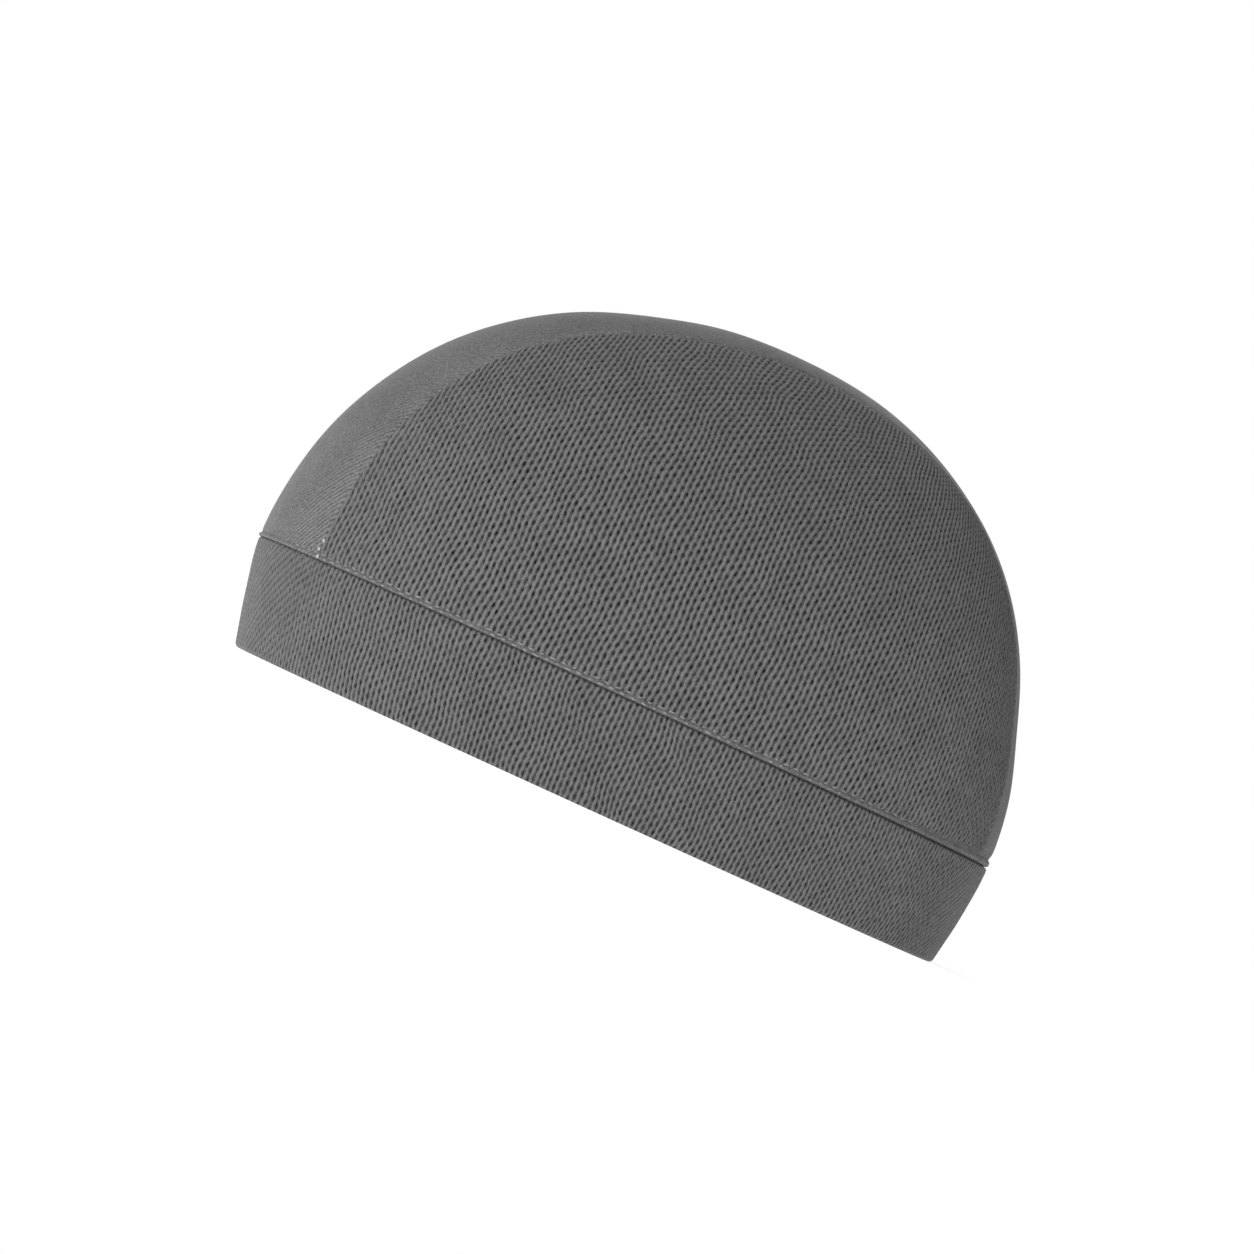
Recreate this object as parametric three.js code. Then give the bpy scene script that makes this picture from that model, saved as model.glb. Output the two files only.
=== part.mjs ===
// A close-fitting skull cap of mesh knit: two side panels, a smooth strip over the head
// between them, and a folded band round the rim.
//
// Millimetres, +Z up. The forehead faces -Y and the wearer's left is +X. The origin is the
// centre of the rim, on the surface that the cap rests on.

import * as THREE from 'three';

// Driving dimensions of the whole cap
const CAP_HEIGHT = 127;
const SEAM_HEIGHT = 28;
const SEWN_GAP = 0.3;

// Half the width of the centre strip: at its two ends, and at its waist over the crown,
// where the stretched knit draws in. The higher the power, the longer the waist.
const STRIP_FRONT = 35;
const STRIP_BACK = 43;
const STRIP_WAIST = 28.5;
const STRIP_WAIST_POWER = 6;

// Cloth thicknesses: one layer in the crown, two in the folded band
const CROWN_CLOTH = 1.2;
const BAND_CLOTH = 2.2;

// The fold at the rim is soft, and flat where it rests
const RIM_ROUNDING = 0.4;

// A level oval is a little squarer than an ellipse, whose power is 2
const OVAL_POWER = 2.1;

// Level ovals through the cap, from its top to its rim. front and back are how far the oval
// reaches towards -Y and +Y, side is its half breadth, and widest is the Y of that breadth.
const OVALS = [
  { height: 127.0, front: -4.4, back: 4.4, side: 0.0, widest: 4.4 },
  { height: 125.7, front: 15.1, back: 23.7, side: 14.5, widest: 5.0 },
  { height: 121.5, front: 32.3, back: 40.0, side: 29.0, widest: 6.0 },
  { height: 114.0, front: 52.2, back: 55.8, side: 43.0, widest: 7.0 },
  { height: 104.0, front: 67.9, back: 69.7, side: 54.8, widest: 8.0 },
  { height: 92.0, front: 80.5, back: 80.6, side: 64.8, widest: 9.0 },
  { height: 78.0, front: 90.3, back: 89.0, side: 72.6, widest: 10.0 },
  { height: 62.0, front: 97.7, back: 95.2, side: 78.2, widest: 11.0 },
  { height: 45.0, front: 101.7, back: 100.7, side: 80.8, widest: 12.0 },
  { height: 28.0, front: 102.7, back: 102.7, side: 80.4, widest: 12.0 },
  { height: 14.0, front: 100.2, back: 101.8, side: 79.0, widest: 12.0 },
  { height: 0.0, front: 96.8, back: 99.6, side: 77.0, widest: 12.0 },
];

// The folded lower edge of the crown: how far it stands out at each height above the seam
const ROLLED_EDGE = [
  { above: 0.0, proud: 0.25 },
  { above: 0.4, proud: 0.6 },
  { above: 1.0, proud: 0.7 },
  { above: 1.6, proud: 0.5 },
  { above: 2.2, proud: 0.0 },
];

// How finely the cloth is divided
const ARCH_STEPS = 40;
const PANEL_ROWS = 11;
const STRIP_STEPS = 10;
const BAND_STEPS = 112;
const BAND_ROWS = 4;

const CROWN_FOOT = SEAM_HEIGHT + SEWN_GAP / 2;
const BAND_TOP = SEAM_HEIGHT - SEWN_GAP / 2;

// Heights are read through the square root of the drop below the top, which makes every
// column of the table a smooth curve, also where the dome closes.
const dropOf = (height) => Math.sqrt(Math.max(0, 1 - height / CAP_HEIGHT));

const ovalCurve = new THREE.CubicInterpolant(
  OVALS.map((oval) => dropOf(oval.height)),
  OVALS.flatMap((oval) => [oval.front, oval.back, oval.side, oval.widest]),
  4,
);

function ovalAt(height) {
  const [front, back, side, widest] = ovalCurve.evaluate(dropOf(height));
  return { front, back, side, widest };
}

// A point of the outer surface. The turn is 0 at the back, a quarter at the left side
// and a half at the front.
function outerPoint(height, turn) {
  const oval = ovalAt(height);
  const along = Math.cos(turn);
  const across = Math.sin(turn);
  const length = along > 0 ? oval.back - oval.widest : oval.front + oval.widest;
  const rounded = (value) => Math.sign(value) * Math.abs(value) ** (2 / OVAL_POWER);
  return new THREE.Vector3(
    oval.side * rounded(across),
    oval.widest + length * rounded(along),
    height,
  );
}

// 1 on the outer surface, less inside it
function fullness(x, y, height) {
  const oval = ovalAt(height);
  const length = y > oval.widest ? oval.back - oval.widest : oval.front + oval.widest;
  const across = Math.abs(x) / Math.max(oval.side, 1e-6);
  const along = Math.abs(y - oval.widest) / Math.max(length, 1e-6);
  return across ** OVAL_POWER + along ** OVAL_POWER;
}

function outwardNormal(point) {
  const step = 0.02;
  const { x, y } = point;
  const z = Math.min(point.z, CAP_HEIGHT - 2 * step);
  return new THREE.Vector3(
    fullness(x + step, y, z) - fullness(x - step, y, z),
    fullness(x, y + step, z) - fullness(x, y - step, z),
    fullness(x, y, z + step) - fullness(x, y, z - step),
  ).normalize();
}

// Half the strip's width where a ray from the middle of the seam's plane leans by this
// angle, from 0 at the back seam to a half turn at the front seam
function stripHalfWidth(lean) {
  const end = lean > Math.PI / 2 ? STRIP_FRONT : STRIP_BACK;
  return STRIP_WAIST + (end - STRIP_WAIST) * Math.abs(Math.cos(lean)) ** STRIP_WAIST_POWER;
}

// How far the oval at this height turns from the middle of the strip to its edge
function stripTurn(height, halfWidth) {
  return Math.asin((halfWidth / ovalAt(height).side) ** (OVAL_POWER / 2));
}

// The surface in the upright plane at x, met by the ray that leans by this angle
function archPoint(x, lean) {
  let inside = 0;
  let outside = 2 * CAP_HEIGHT;
  for (let halving = 0; halving < 50; halving += 1) {
    const reach = (inside + outside) / 2;
    const height = SEAM_HEIGHT + reach * Math.sin(lean);
    const isInside = height < CAP_HEIGHT && fullness(x, reach * Math.cos(lean), height) < 1;
    if (isInside) inside = reach;
    else outside = reach;
  }
  const height = SEAM_HEIGHT + inside * Math.sin(lean);
  return new THREE.Vector3(x, inside * Math.cos(lean), height);
}

// One vertex of a wall of cloth: its outer and inner point
function crownWall(point, shift = 0) {
  const normal = outwardNormal(point);
  const outer = point.clone();
  const inner = point.clone().addScaledVector(normal, -CROWN_CLOTH);
  outer.x += shift;
  inner.x += shift;
  return { outer, inner };
}

// The same in the rolled edge, which stays level so that its foot is flat
function rolledWall(point, proud, shift = 0) {
  const normal = outwardNormal(point).setZ(0).normalize();
  const outer = point.clone().addScaledVector(normal, proud);
  const inner = point.clone().addScaledVector(normal, -CROWN_CLOTH);
  outer.x += shift;
  inner.x += shift;
  return { outer, inner };
}

// A closed body from a list of faces over shared points. Corners that fall together are
// one vertex, and faces that vanish with them are dropped.
class Body {
  constructor() {
    this.positions = [];
    this.faces = [];
    this.known = new Map();
  }

  vertex(point) {
    const key = point.toArray().map((value) => Math.round(value * 1e4)).join();
    if (!this.known.has(key)) {
      this.known.set(key, this.positions.length / 3);
      this.positions.push(point.x, point.y, point.z);
    }
    return this.known.get(key);
  }

  triangle(a, b, c) {
    const corners = [a, b, c].map((point) => this.vertex(point));
    if (new Set(corners).size === 3) this.faces.push(...corners);
  }

  quad(a, b, c, d) {
    this.triangle(a, b, c);
    this.triangle(a, c, d);
  }

  geometry() {
    const geometry = new THREE.BufferGeometry();
    geometry.setAttribute('position', new THREE.Float32BufferAttribute(this.positions, 3));
    geometry.setIndex(this.faces);
    geometry.computeVertexNormals();
    return geometry;
  }
}

// A wall over a grid of rows: both faces, and the cut edges all round.
// Along a row the surface runs to the left of the outward normal, and the rows go up.
function clothShell(rows) {
  const body = new Body();
  const lastRow = rows.length - 1;
  const lastColumn = rows[0].length - 1;
  for (let row = 0; row < lastRow; row += 1) {
    for (let column = 0; column < lastColumn; column += 1) {
      const here = rows[row][column];
      const beside = rows[row][column + 1];
      const above = rows[row + 1][column];
      const across = rows[row + 1][column + 1];
      body.quad(here.outer, beside.outer, across.outer, above.outer);
      body.quad(here.inner, above.inner, across.inner, beside.inner);
    }
  }
  const edge = (from, to) => body.quad(from.outer, from.inner, to.inner, to.outer);
  for (let column = 0; column < lastColumn; column += 1) {
    edge(rows[0][column], rows[0][column + 1]);
    edge(rows[lastRow][column + 1], rows[lastRow][column]);
  }
  for (let row = 0; row < lastRow; row += 1) {
    edge(rows[row][lastColumn], rows[row + 1][lastColumn]);
    edge(rows[row + 1][0], rows[row][0]);
  }
  return body.geometry();
}

// The ends of the strip's edge, just above the rolled edge, and the points between them
// that both the strip and the panels use. They run from the front to the back.
const ROLL_TOP = CROWN_FOOT + ROLLED_EDGE[ROLLED_EDGE.length - 1].above;
const archLeans = [];
for (let step = 1; step < ARCH_STEPS; step += 1) {
  archLeans.push(Math.PI * (1 - step / ARCH_STEPS));
}

function turnOf(point) {
  const oval = ovalAt(point.z);
  const length = point.y > oval.widest ? oval.back - oval.widest : oval.front + oval.widest;
  const unround = (value) => Math.sign(value) * Math.abs(value) ** (OVAL_POWER / 2);
  return Math.atan2(unround(point.x / oval.side), unround((point.y - oval.widest) / length));
}

// The left panel. Its columns rise from the seam to the strip's edge, from front to back.
function panelRows() {
  const columns = ARCH_STEPS;
  const shift = SEWN_GAP / 2;
  const turnAt = (height, column) => {
    const front = Math.PI - stripTurn(height, STRIP_FRONT);
    const back = stripTurn(height, STRIP_BACK);
    return THREE.MathUtils.lerp(front, back, column / columns);
  };
  const rows = ROLLED_EDGE.map(({ above, proud }) => {
    const height = CROWN_FOOT + above;
    const row = [];
    for (let column = 0; column <= columns; column += 1) {
      row.push(rolledWall(outerPoint(height, turnAt(height, column)), proud, shift));
    }
    return row;
  });
  for (let step = 1; step <= PANEL_ROWS; step += 1) {
    const share = step / PANEL_ROWS;
    const row = [rows[ROLLED_EDGE.length - 1][0]];
    for (let column = 1; column < columns; column += 1) {
      const lean = archLeans[column - 1];
      const end = archPoint(stripHalfWidth(lean), lean);
      const drop = THREE.MathUtils.lerp(dropOf(ROLL_TOP), dropOf(end.z), share);
      const height = CAP_HEIGHT * (1 - drop * drop);
      const turn = THREE.MathUtils.lerp(turnAt(ROLL_TOP, column), turnOf(end), share);
      const point = step === PANEL_ROWS ? end : outerPoint(height, turn);
      row.push(crownWall(point, shift));
    }
    row.push(rows[ROLLED_EDGE.length - 1][columns]);
    rows.push(row);
  }
  return rows;
}

// The same panel on the other side
function mirrored(rows) {
  const flip = (point) => new THREE.Vector3(-point.x, point.y, point.z);
  return rows.map((row) => row.map(({ outer, inner }) => (
    { outer: flip(outer), inner: flip(inner) }
  )).reverse());
}

// The centre strip. Its rows cross it, and they run from the front seam to the back seam.
function stripRows() {
  const edge = (step) => 2 * (step / STRIP_STEPS) - 1;
  const shiftAt = (step) => -edge(step) * (SEWN_GAP / 2);
  const levelRow = (height, proud, isFront) => {
    const limit = stripTurn(height, isFront ? STRIP_FRONT : STRIP_BACK);
    const row = [];
    for (let step = 0; step <= STRIP_STEPS; step += 1) {
      const turn = isFront ? Math.PI - limit * edge(step) : limit * edge(step);
      row.push(rolledWall(outerPoint(height, turn), proud, shiftAt(step)));
    }
    return row;
  };
  const endRows = (isFront) => ROLLED_EDGE.map(({ above, proud }) => (
    levelRow(CROWN_FOOT + above, proud, isFront)
  ));
  const archRows = archLeans.map((lean) => {
    const row = [];
    for (let step = 0; step <= STRIP_STEPS; step += 1) {
      const point = archPoint(stripHalfWidth(lean) * edge(step), lean);
      row.push(crownWall(point, shiftAt(step)));
    }
    return row;
  });
  return [...endRows(true), ...archRows, ...endRows(false).reverse()];
}

// The band: a ring whose section is the folded cloth, standing on its flat rim
function bandGeometry() {
  const wallHeights = [];
  for (let row = 0; row <= BAND_ROWS; row += 1) {
    wallHeights.push(THREE.MathUtils.lerp(RIM_ROUNDING, BAND_TOP, row / BAND_ROWS));
  }
  const section = [
    ...wallHeights.map((height) => ({ height, depth: 0 })),
    ...wallHeights.map((height) => ({ height, depth: BAND_CLOTH })).reverse(),
    { height: 0, depth: BAND_CLOTH - RIM_ROUNDING },
    { height: 0, depth: RIM_ROUNDING },
  ];
  const ringPoint = (step, { height, depth }) => {
    const point = outerPoint(height, (2 * Math.PI * step) / BAND_STEPS);
    return point.addScaledVector(outwardNormal(point).setZ(0).normalize(), -depth);
  };
  const body = new Body();
  for (let step = 0; step < BAND_STEPS; step += 1) {
    const next = (step + 1) % BAND_STEPS;
    section.forEach((corner, index) => {
      const following = section[(index + 1) % section.length];
      body.quad(
        ringPoint(step, corner),
        ringPoint(step, following),
        ringPoint(next, following),
        ringPoint(next, corner),
      );
    });
  }
  return body.geometry();
}

function clothPiece(name, geometry, color, roughness) {
  const material = new THREE.MeshStandardMaterial({ color, roughness, metalness: 0 });
  const piece = new THREE.Mesh(geometry, material);
  piece.name = name;
  return piece;
}

const cap = new THREE.Group();
cap.add(
  clothPiece('side_panel_left', clothShell(panelRows()), 0x646464, 0.85),
  clothPiece('side_panel_right', clothShell(mirrored(panelRows())), 0x646464, 0.85),
  clothPiece('centre_strip', clothShell(stripRows()), 0x6c6c6c, 0.75),
  clothPiece('band', bandGeometry(), 0x666666, 0.85),
);

export default cap;
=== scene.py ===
# %% [markdown]
# # A mesh-knit skull cap
#
# This lesson dresses a close-fitting cap. Two side panels are a mesh knit with thousands of
# small staggered holes, a smooth strip runs over the head between them, and a folded band
# goes round the rim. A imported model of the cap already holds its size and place. Here each
# piece gets a finer mesh on the same surface, and the materials that the eye expects.

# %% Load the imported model, which stays fixed
import math

import bpy
import numpy as np
from mathutils import Matrix, Vector


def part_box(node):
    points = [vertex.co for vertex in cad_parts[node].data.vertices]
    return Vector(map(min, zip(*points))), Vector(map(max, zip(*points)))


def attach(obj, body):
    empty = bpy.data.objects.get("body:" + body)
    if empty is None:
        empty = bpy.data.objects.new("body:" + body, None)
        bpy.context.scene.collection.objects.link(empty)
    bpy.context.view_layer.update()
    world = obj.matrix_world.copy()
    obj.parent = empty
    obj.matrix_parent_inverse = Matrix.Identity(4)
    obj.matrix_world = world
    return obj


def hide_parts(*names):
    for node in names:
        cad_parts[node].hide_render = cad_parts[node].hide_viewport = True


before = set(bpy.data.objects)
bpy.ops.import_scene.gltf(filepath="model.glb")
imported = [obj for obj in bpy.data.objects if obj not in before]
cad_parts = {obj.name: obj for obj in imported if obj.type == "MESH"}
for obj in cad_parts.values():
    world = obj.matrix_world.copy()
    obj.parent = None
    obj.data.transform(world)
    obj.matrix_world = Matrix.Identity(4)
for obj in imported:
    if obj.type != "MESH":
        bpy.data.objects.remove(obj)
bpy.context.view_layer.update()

_, band_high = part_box("band")

# %% [markdown]
# ## The surface of the cap
#
# A cap like this is stretched over a head, so its form is one smooth dome. It could be
# sculpted, but a formula is easier to follow and to lay a knit on. Level ovals are read from
# a short table, and a point of the dome is a height and a turn round the head: 0 at the
# nape, a quarter turn at the wearer's left, and a half turn at the forehead. The lengths of
# the cap are millimetres here until a mesh or a material is made, which is in metres.

# %% The table of ovals
MM = 0.001
CAP_HEIGHT = 127.0
SEAM_HEIGHT = 28.0
OVAL_POWER = 2.1
NORMAL_STEP = 0.02
HALVINGS = 45

# height, reach to the front, reach to the back, half breadth, and Y of the broadest place
OVALS = np.array([
    (127.0, -4.4, 4.4, 0.0, 4.4),
    (125.7, 15.1, 23.7, 14.5, 5.0),
    (121.5, 32.3, 40.0, 29.0, 6.0),
    (114.0, 52.2, 55.8, 43.0, 7.0),
    (104.0, 67.9, 69.7, 54.8, 8.0),
    (92.0, 80.5, 80.6, 64.8, 9.0),
    (78.0, 90.3, 89.0, 72.6, 10.0),
    (62.0, 97.7, 95.2, 78.2, 11.0),
    (45.0, 101.7, 100.7, 80.8, 12.0),
    (28.0, 102.7, 102.7, 80.4, 12.0),
    (14.0, 100.2, 101.8, 79.0, 12.0),
    (0.0, 96.8, 99.6, 77.0, 12.0),
])
print("ovals in the table:", len(OVALS))


# %% A smooth curve through the rows of the table
def drop_of(height):
    """Heights are read through the root of the drop below the top, where a dome is smooth."""
    return np.sqrt(np.clip(1 - np.asarray(height, float) / CAP_HEIGHT, 0, None))


KNOTS = drop_of(OVALS[:, 0])
VALUES = OVALS[:, 1:]
steps_between = np.diff(VALUES, axis=0) / np.diff(KNOTS)[:, None]
around = (VALUES[2:] - VALUES[:-2]) / (KNOTS[2:] - KNOTS[:-2])[:, None]
first = 1.5 * steps_between[:1] - 0.5 * around[:1]
last = 1.5 * steps_between[-1:] - 0.5 * around[-1:]
SLOPES = np.vstack([first, around, last])


def oval_at(height):
    """Front, back, side and widest of the oval at each height."""
    drop = np.clip(drop_of(height), KNOTS[0], KNOTS[-1])
    row = np.clip(np.searchsorted(KNOTS, drop) - 1, 0, len(KNOTS) - 2)
    width = (KNOTS[row + 1] - KNOTS[row])[..., None]
    t = (drop - KNOTS[row])[..., None] / width
    start = (2 * t**3 - 3 * t**2 + 1) * VALUES[row] + (t**3 - 2 * t**2 + t) * width * SLOPES[row]
    end = (3 * t**2 - 2 * t**3) * VALUES[row + 1] + (t**3 - t**2) * width * SLOPES[row + 1]
    return np.moveaxis(start + end, -1, 0)


print("half breadth at the seam, mm:", round(float(oval_at(SEAM_HEIGHT)[2]), 1))


# %% Points of the surface
def surface_point(height, turn):
    """Points of the outer surface."""
    height, turn = np.broadcast_arrays(np.asarray(height, float), np.asarray(turn, float))
    front, back, side, widest = oval_at(height)
    along, across = np.cos(turn), np.sin(turn)
    length = np.where(along > 0, back - widest, front + widest)
    power = 2 / OVAL_POWER
    x = side * np.sign(across) * np.abs(across) ** power
    y = widest + length * np.sign(along) * np.abs(along) ** power
    return np.stack([x, y, height], axis=-1)


def fullness(x, y, height):
    """1 on the outer surface and less inside it."""
    front, back, side, widest = oval_at(height)
    length = np.where(y > widest, back - widest, front + widest)
    across = np.abs(x) / np.maximum(side, 1e-6)
    along = np.abs(y - widest) / np.maximum(length, 1e-6)
    return across**OVAL_POWER + along**OVAL_POWER


def turn_of(point):
    """The turn of points that lie on the surface."""
    front, back, side, widest = oval_at(point[..., 2])
    length = np.where(point[..., 1] > widest, back - widest, front + widest)
    across = point[..., 0] / side
    along = (point[..., 1] - widest) / length
    power = OVAL_POWER / 2
    return np.arctan2(
        np.sign(across) * np.abs(across) ** power, np.sign(along) * np.abs(along) ** power
    )


# %% Normals of the surface, and its arch in an upright plane
def outward(point, level=False):
    """Unit normals of the surface, or level ones for what stands upright."""
    step = NORMAL_STEP
    x, y = point[..., 0], point[..., 1]
    z = np.minimum(point[..., 2], CAP_HEIGHT - 2 * step)
    slope = np.stack([
        fullness(x + step, y, z) - fullness(x - step, y, z),
        fullness(x, y + step, z) - fullness(x, y - step, z),
        fullness(x, y, z + step) - fullness(x, y, z - step),
    ], axis=-1)
    if level:
        slope[..., 2] = 0
    return slope / np.linalg.norm(slope, axis=-1, keepdims=True)


def arch_point(x, lean):
    """The surface in the upright plane at x, met by a ray from the middle of the seam's plane
    that leans by this angle: 0 towards the nape, a half turn towards the forehead."""
    x, lean = np.broadcast_arrays(np.asarray(x, float), np.asarray(lean, float))
    inside, outside = np.zeros(x.shape), np.full(x.shape, 2 * CAP_HEIGHT)
    for _ in range(HALVINGS):
        reach = (inside + outside) / 2
        height = SEAM_HEIGHT + reach * np.sin(lean)
        within = (height < CAP_HEIGHT) & (fullness(x, reach * np.cos(lean), height) < 1)
        inside, outside = np.where(within, reach, inside), np.where(within, outside, reach)
    height = SEAM_HEIGHT + inside * np.sin(lean)
    return np.stack([x, inside * np.cos(lean), height], axis=-1)


print("height of the seam in the packed band, mm:", round(band_high[2] / MM, 2))

# %% [markdown]
# ## Cloth as a mesh
#
# Each piece is a closed mesh with an outer face, an inner face and cut edges. The outer face
# is fine, because it carries the holes, and the inner one is coarser. Where two rows of
# different spacing meet, they are zipped: of the two next points, the nearer one makes the
# next triangle. The texture coordinates count knitted columns and rows, so that a material
# can find every hole.

# %% A mesh that is filled row by row
class Cloth:
    """Points with their knit coordinates, and the triangles between them."""

    def __init__(self, name):
        self.name = name
        self.points, self.coords, self.faces, self.corners = [], [], [], []
        self.count = 0

    def add(self, points, coords):
        """Adds points and gives back their numbers."""
        shape = points.shape[:-1]
        flat = points.reshape(-1, 3)
        self.points.append(flat)
        self.coords.append(np.broadcast_to(coords, (*shape, 2)).reshape(-1, 2))
        first = self.count
        self.count += len(flat)
        return np.arange(first, self.count).reshape(shape)

    def triangles(self, faces, shift=0.0):
        """Adds triangles. The shift moves the first coordinate of the corners that lie past
        the end of a closed ring."""
        faces = np.asarray(faces, dtype=np.int64).reshape(-1, 3)
        self.faces.append(faces)
        self.corners.append(np.broadcast_to(shift, faces.shape))

    def grid(self, rows, closed_by=0.0, flip=False):
        """Joins rows of point numbers. A closed grid's last column joins its first, whose
        knit coordinate is then larger by closed_by."""
        beside = np.roll(rows, -1, axis=1) if closed_by else rows[:, 1:]
        here = rows if closed_by else rows[:, :-1]
        a, b, c, d = here[:-1], beside[:-1], beside[1:], here[1:]
        shift = np.zeros(a.shape)
        if closed_by:
            shift[:, -1] = closed_by
        none = np.zeros(a.shape)
        for corners, moved in (((a, b, c), (none, shift, shift)), ((a, c, d), (none, shift, none))):
            face = np.stack(corners, axis=-1).reshape(-1, 3)
            move = np.stack(moved, axis=-1).reshape(-1, 3)
            if flip:
                face, move = face[:, ::-1], move[:, ::-1]
            self.triangles(face, move)

    def zip(self, left, left_places, right, right_places, flip=False):
        """Joins two lines of points whose places along them differ."""
        faces, i, j = [], 0, 0
        while i < len(left) - 1 or j < len(right) - 1:
            more_left = i < len(left) - 1
            more_right = j < len(right) - 1
            go_left = more_left and (not more_right or left_places[i + 1] <= right_places[j + 1])
            if go_left:
                faces.append((left[i], right[j], left[i + 1]))
                i += 1
            else:
                faces.append((left[i], right[j], right[j + 1]))
                j += 1
        faces = np.array(faces).reshape(-1, 3)
        self.triangles(faces[:, ::-1] if flip else faces)

    def build(self):
        """Makes the Blender object, in metres."""
        points, coords = np.concatenate(self.points), np.concatenate(self.coords)
        faces, shifts = np.concatenate(self.faces), np.concatenate(self.corners)
        mesh = bpy.data.meshes.new(self.name)
        mesh.from_pydata((points * MM).tolist(), [], faces.tolist())
        layer = mesh.uv_layers.new(name="knit")
        uv = coords[faces.ravel()].copy()
        uv[:, 0] += shifts.ravel()
        layer.data.foreach_set("uv", uv.astype(np.float32).ravel())
        mesh.shade_smooth()
        piece = bpy.data.objects.new(self.name, mesh)
        bpy.context.collection.objects.link(piece)
        print(f"{self.name}: {len(points)} points, {len(faces)} triangles")
        return piece


# %% [markdown]
# ## The holes of the knit
#
# The mesh is a bird's-eye knit. Its holes stand in columns that follow the ribs, and each
# column is half a step out of line with its neighbours. On the real cloth a column is 1.5 mm
# wide and the holes in it are 2.5 mm apart. Every column and every step get four mesh points,
# which is just enough for a rounded rib and a pit. No two holes are alike, because the yarn
# is pulled here and slack there, so each pit takes its own depth from a seeded table, each
# loop of a rib its own height, and the columns wander a little to the left and the right.

# %% The lattice of holes
WALE = 1.49
COURSE = 2.5
POINTS_PER_STEP = 4
PIT_HALF_WIDTH = 0.21
PIT_HALF_LENGTH = 0.27
PIT_EDGE = 1.25
PIT_ROUNDING = 0.8
RIB_BEND = 0.07
RIB_HALF_WIDTH = 0.42

# The smallest and largest share of its depth that a pit takes, the same for the height of a
# loop, and the size of their seeded tables
PULLS = (0.3, 1.3)
SWELLS = (0.6, 1.3)
TABLE_COLUMNS = 1024
TABLE_ROWS = 256


def knit_relief(columns, rows, pit, rib, seed):
    """How far the outer face stands out: down in the pits and up on the ribs, which bend
    round the holes, now to one side and now to the other."""
    column = np.round(columns)
    shifted = rows + 0.5 * (column % 2)
    row = np.round(shifted)
    away = np.hypot((columns - column) / PIT_HALF_WIDTH, (shifted - row) / PIT_HALF_LENGTH)
    random = np.random.default_rng(seed)
    pull = random.uniform(*PULLS, (TABLE_COLUMNS, TABLE_ROWS))
    pull = pull[column.astype(int) % TABLE_COLUMNS, row.astype(int) % TABLE_ROWS]
    depth = pit * pull * np.clip(PIT_EDGE - away, 0, 1) ** PIT_ROUNDING
    left = np.floor(columns)
    bend = RIB_BEND * (1 - 2 * (left % 2)) * np.cos(2 * np.pi * rows)
    from_crest = (columns - left - 0.5 - bend) / RIB_HALF_WIDTH
    rib_number, loop = np.broadcast_arrays(left, np.floor(2 * rows))
    loops = 2 * TABLE_ROWS
    swell = random.uniform(*SWELLS, (TABLE_COLUMNS, loops))
    swell = swell[rib_number.astype(int) % TABLE_COLUMNS, loop.astype(int) % loops]
    return rib * swell * np.clip(1 - from_crest**2, 0, 1) - depth


WANDER = 0.18
WANDER_WAVES = 8
WANDER_LENGTHS = (9, 26)


def wander(along, up):
    """How far a column strays to one side, in mm: a few slow seeded waves over the cloth."""
    waves = np.random.default_rng(3)
    shortest, longest = WANDER_LENGTHS
    shift = 0
    for _ in range(WANDER_WAVES):
        length, heading, start = waves.uniform((shortest, 0, 0), (longest, np.pi, 2 * np.pi))
        place = along * np.cos(heading) + up * np.sin(heading)
        shift = shift + np.sin(2 * np.pi * place / length + start)
    return WANDER * shift / 2


# %% [markdown]
# ## The side panels
#
# A panel is cut from flat knit, so its columns start side by side along the seam and run up
# over the head in parallel, until the strip cuts them off. A subdivided grid would make the
# holes any size that fits. Here each column keeps its distance along every level oval, and
# it is marked off in real steps as it climbs, so that the holes keep their size and meet the
# strip where they happen to, as a cut edge does. The columns leave the seam nearly upright,
# and the strip has drawn them back, so they lean more towards the nape the higher they are.
# The foot of the crown is folded under and rolled. The roll is thin at the forehead and
# thicker at the nape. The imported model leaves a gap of 0.3 mm at each seam, and here the
# cloth comes closer, as sewn cloth does.

# %% The edges of a panel
SEWN_GAP = 0.16
CROWN_FOOT = SEAM_HEIGHT + SEWN_GAP / 2
STRIP_FRONT = 35.0
STRIP_BACK = 43.0
STRIP_WAIST = 28.5
STRIP_WAIST_POWER = 6
CROWN_CLOTH = 1.2
SEEN_GAP = 0.07

# The folded foot of the crown: height over the seam at the forehead and at the nape, and how
# far it stands out
ROLLED_EDGE = np.array([
    (0.0, 0.0, 0.0),
    (0.12, 0.12, 0.3),
    (0.3, 0.45, 0.5),
    (0.55, 1.0, 0.55),
    (0.8, 1.45, 0.4),
    (0.95, 1.7, 0.05),
    (1.15, 1.85, -0.25),
    (1.45, 1.97, -0.2),
    (2.1, 2.1, 0.0),
])
ROLL_HEIGHT = 1.0
ROLL_AT_FRONT = 0.75
ROLL_AT_BACK = 1.05
GROOVE_AT_NAPE = 0.3
NAPE_SINK = 0.5
NAPE_SINK_REACH = 2.5
ROLL_TOP = CROWN_FOOT + ROLLED_EDGE[-1, 0]
STITCH_PITCH = 2.85
SEAM_DIP = 0.45
SEAM_DIP_REACH = 0.65
FOOT_SAMPLES = 801
EDGE_SAMPLES = 1201


# %% Where a panel ends and the strip begins
def nape_share(turn):
    """0 at the forehead and 1 at the nape, and still small at the sides."""
    return ((1 + np.cos(turn)) / 2) ** 3


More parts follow.
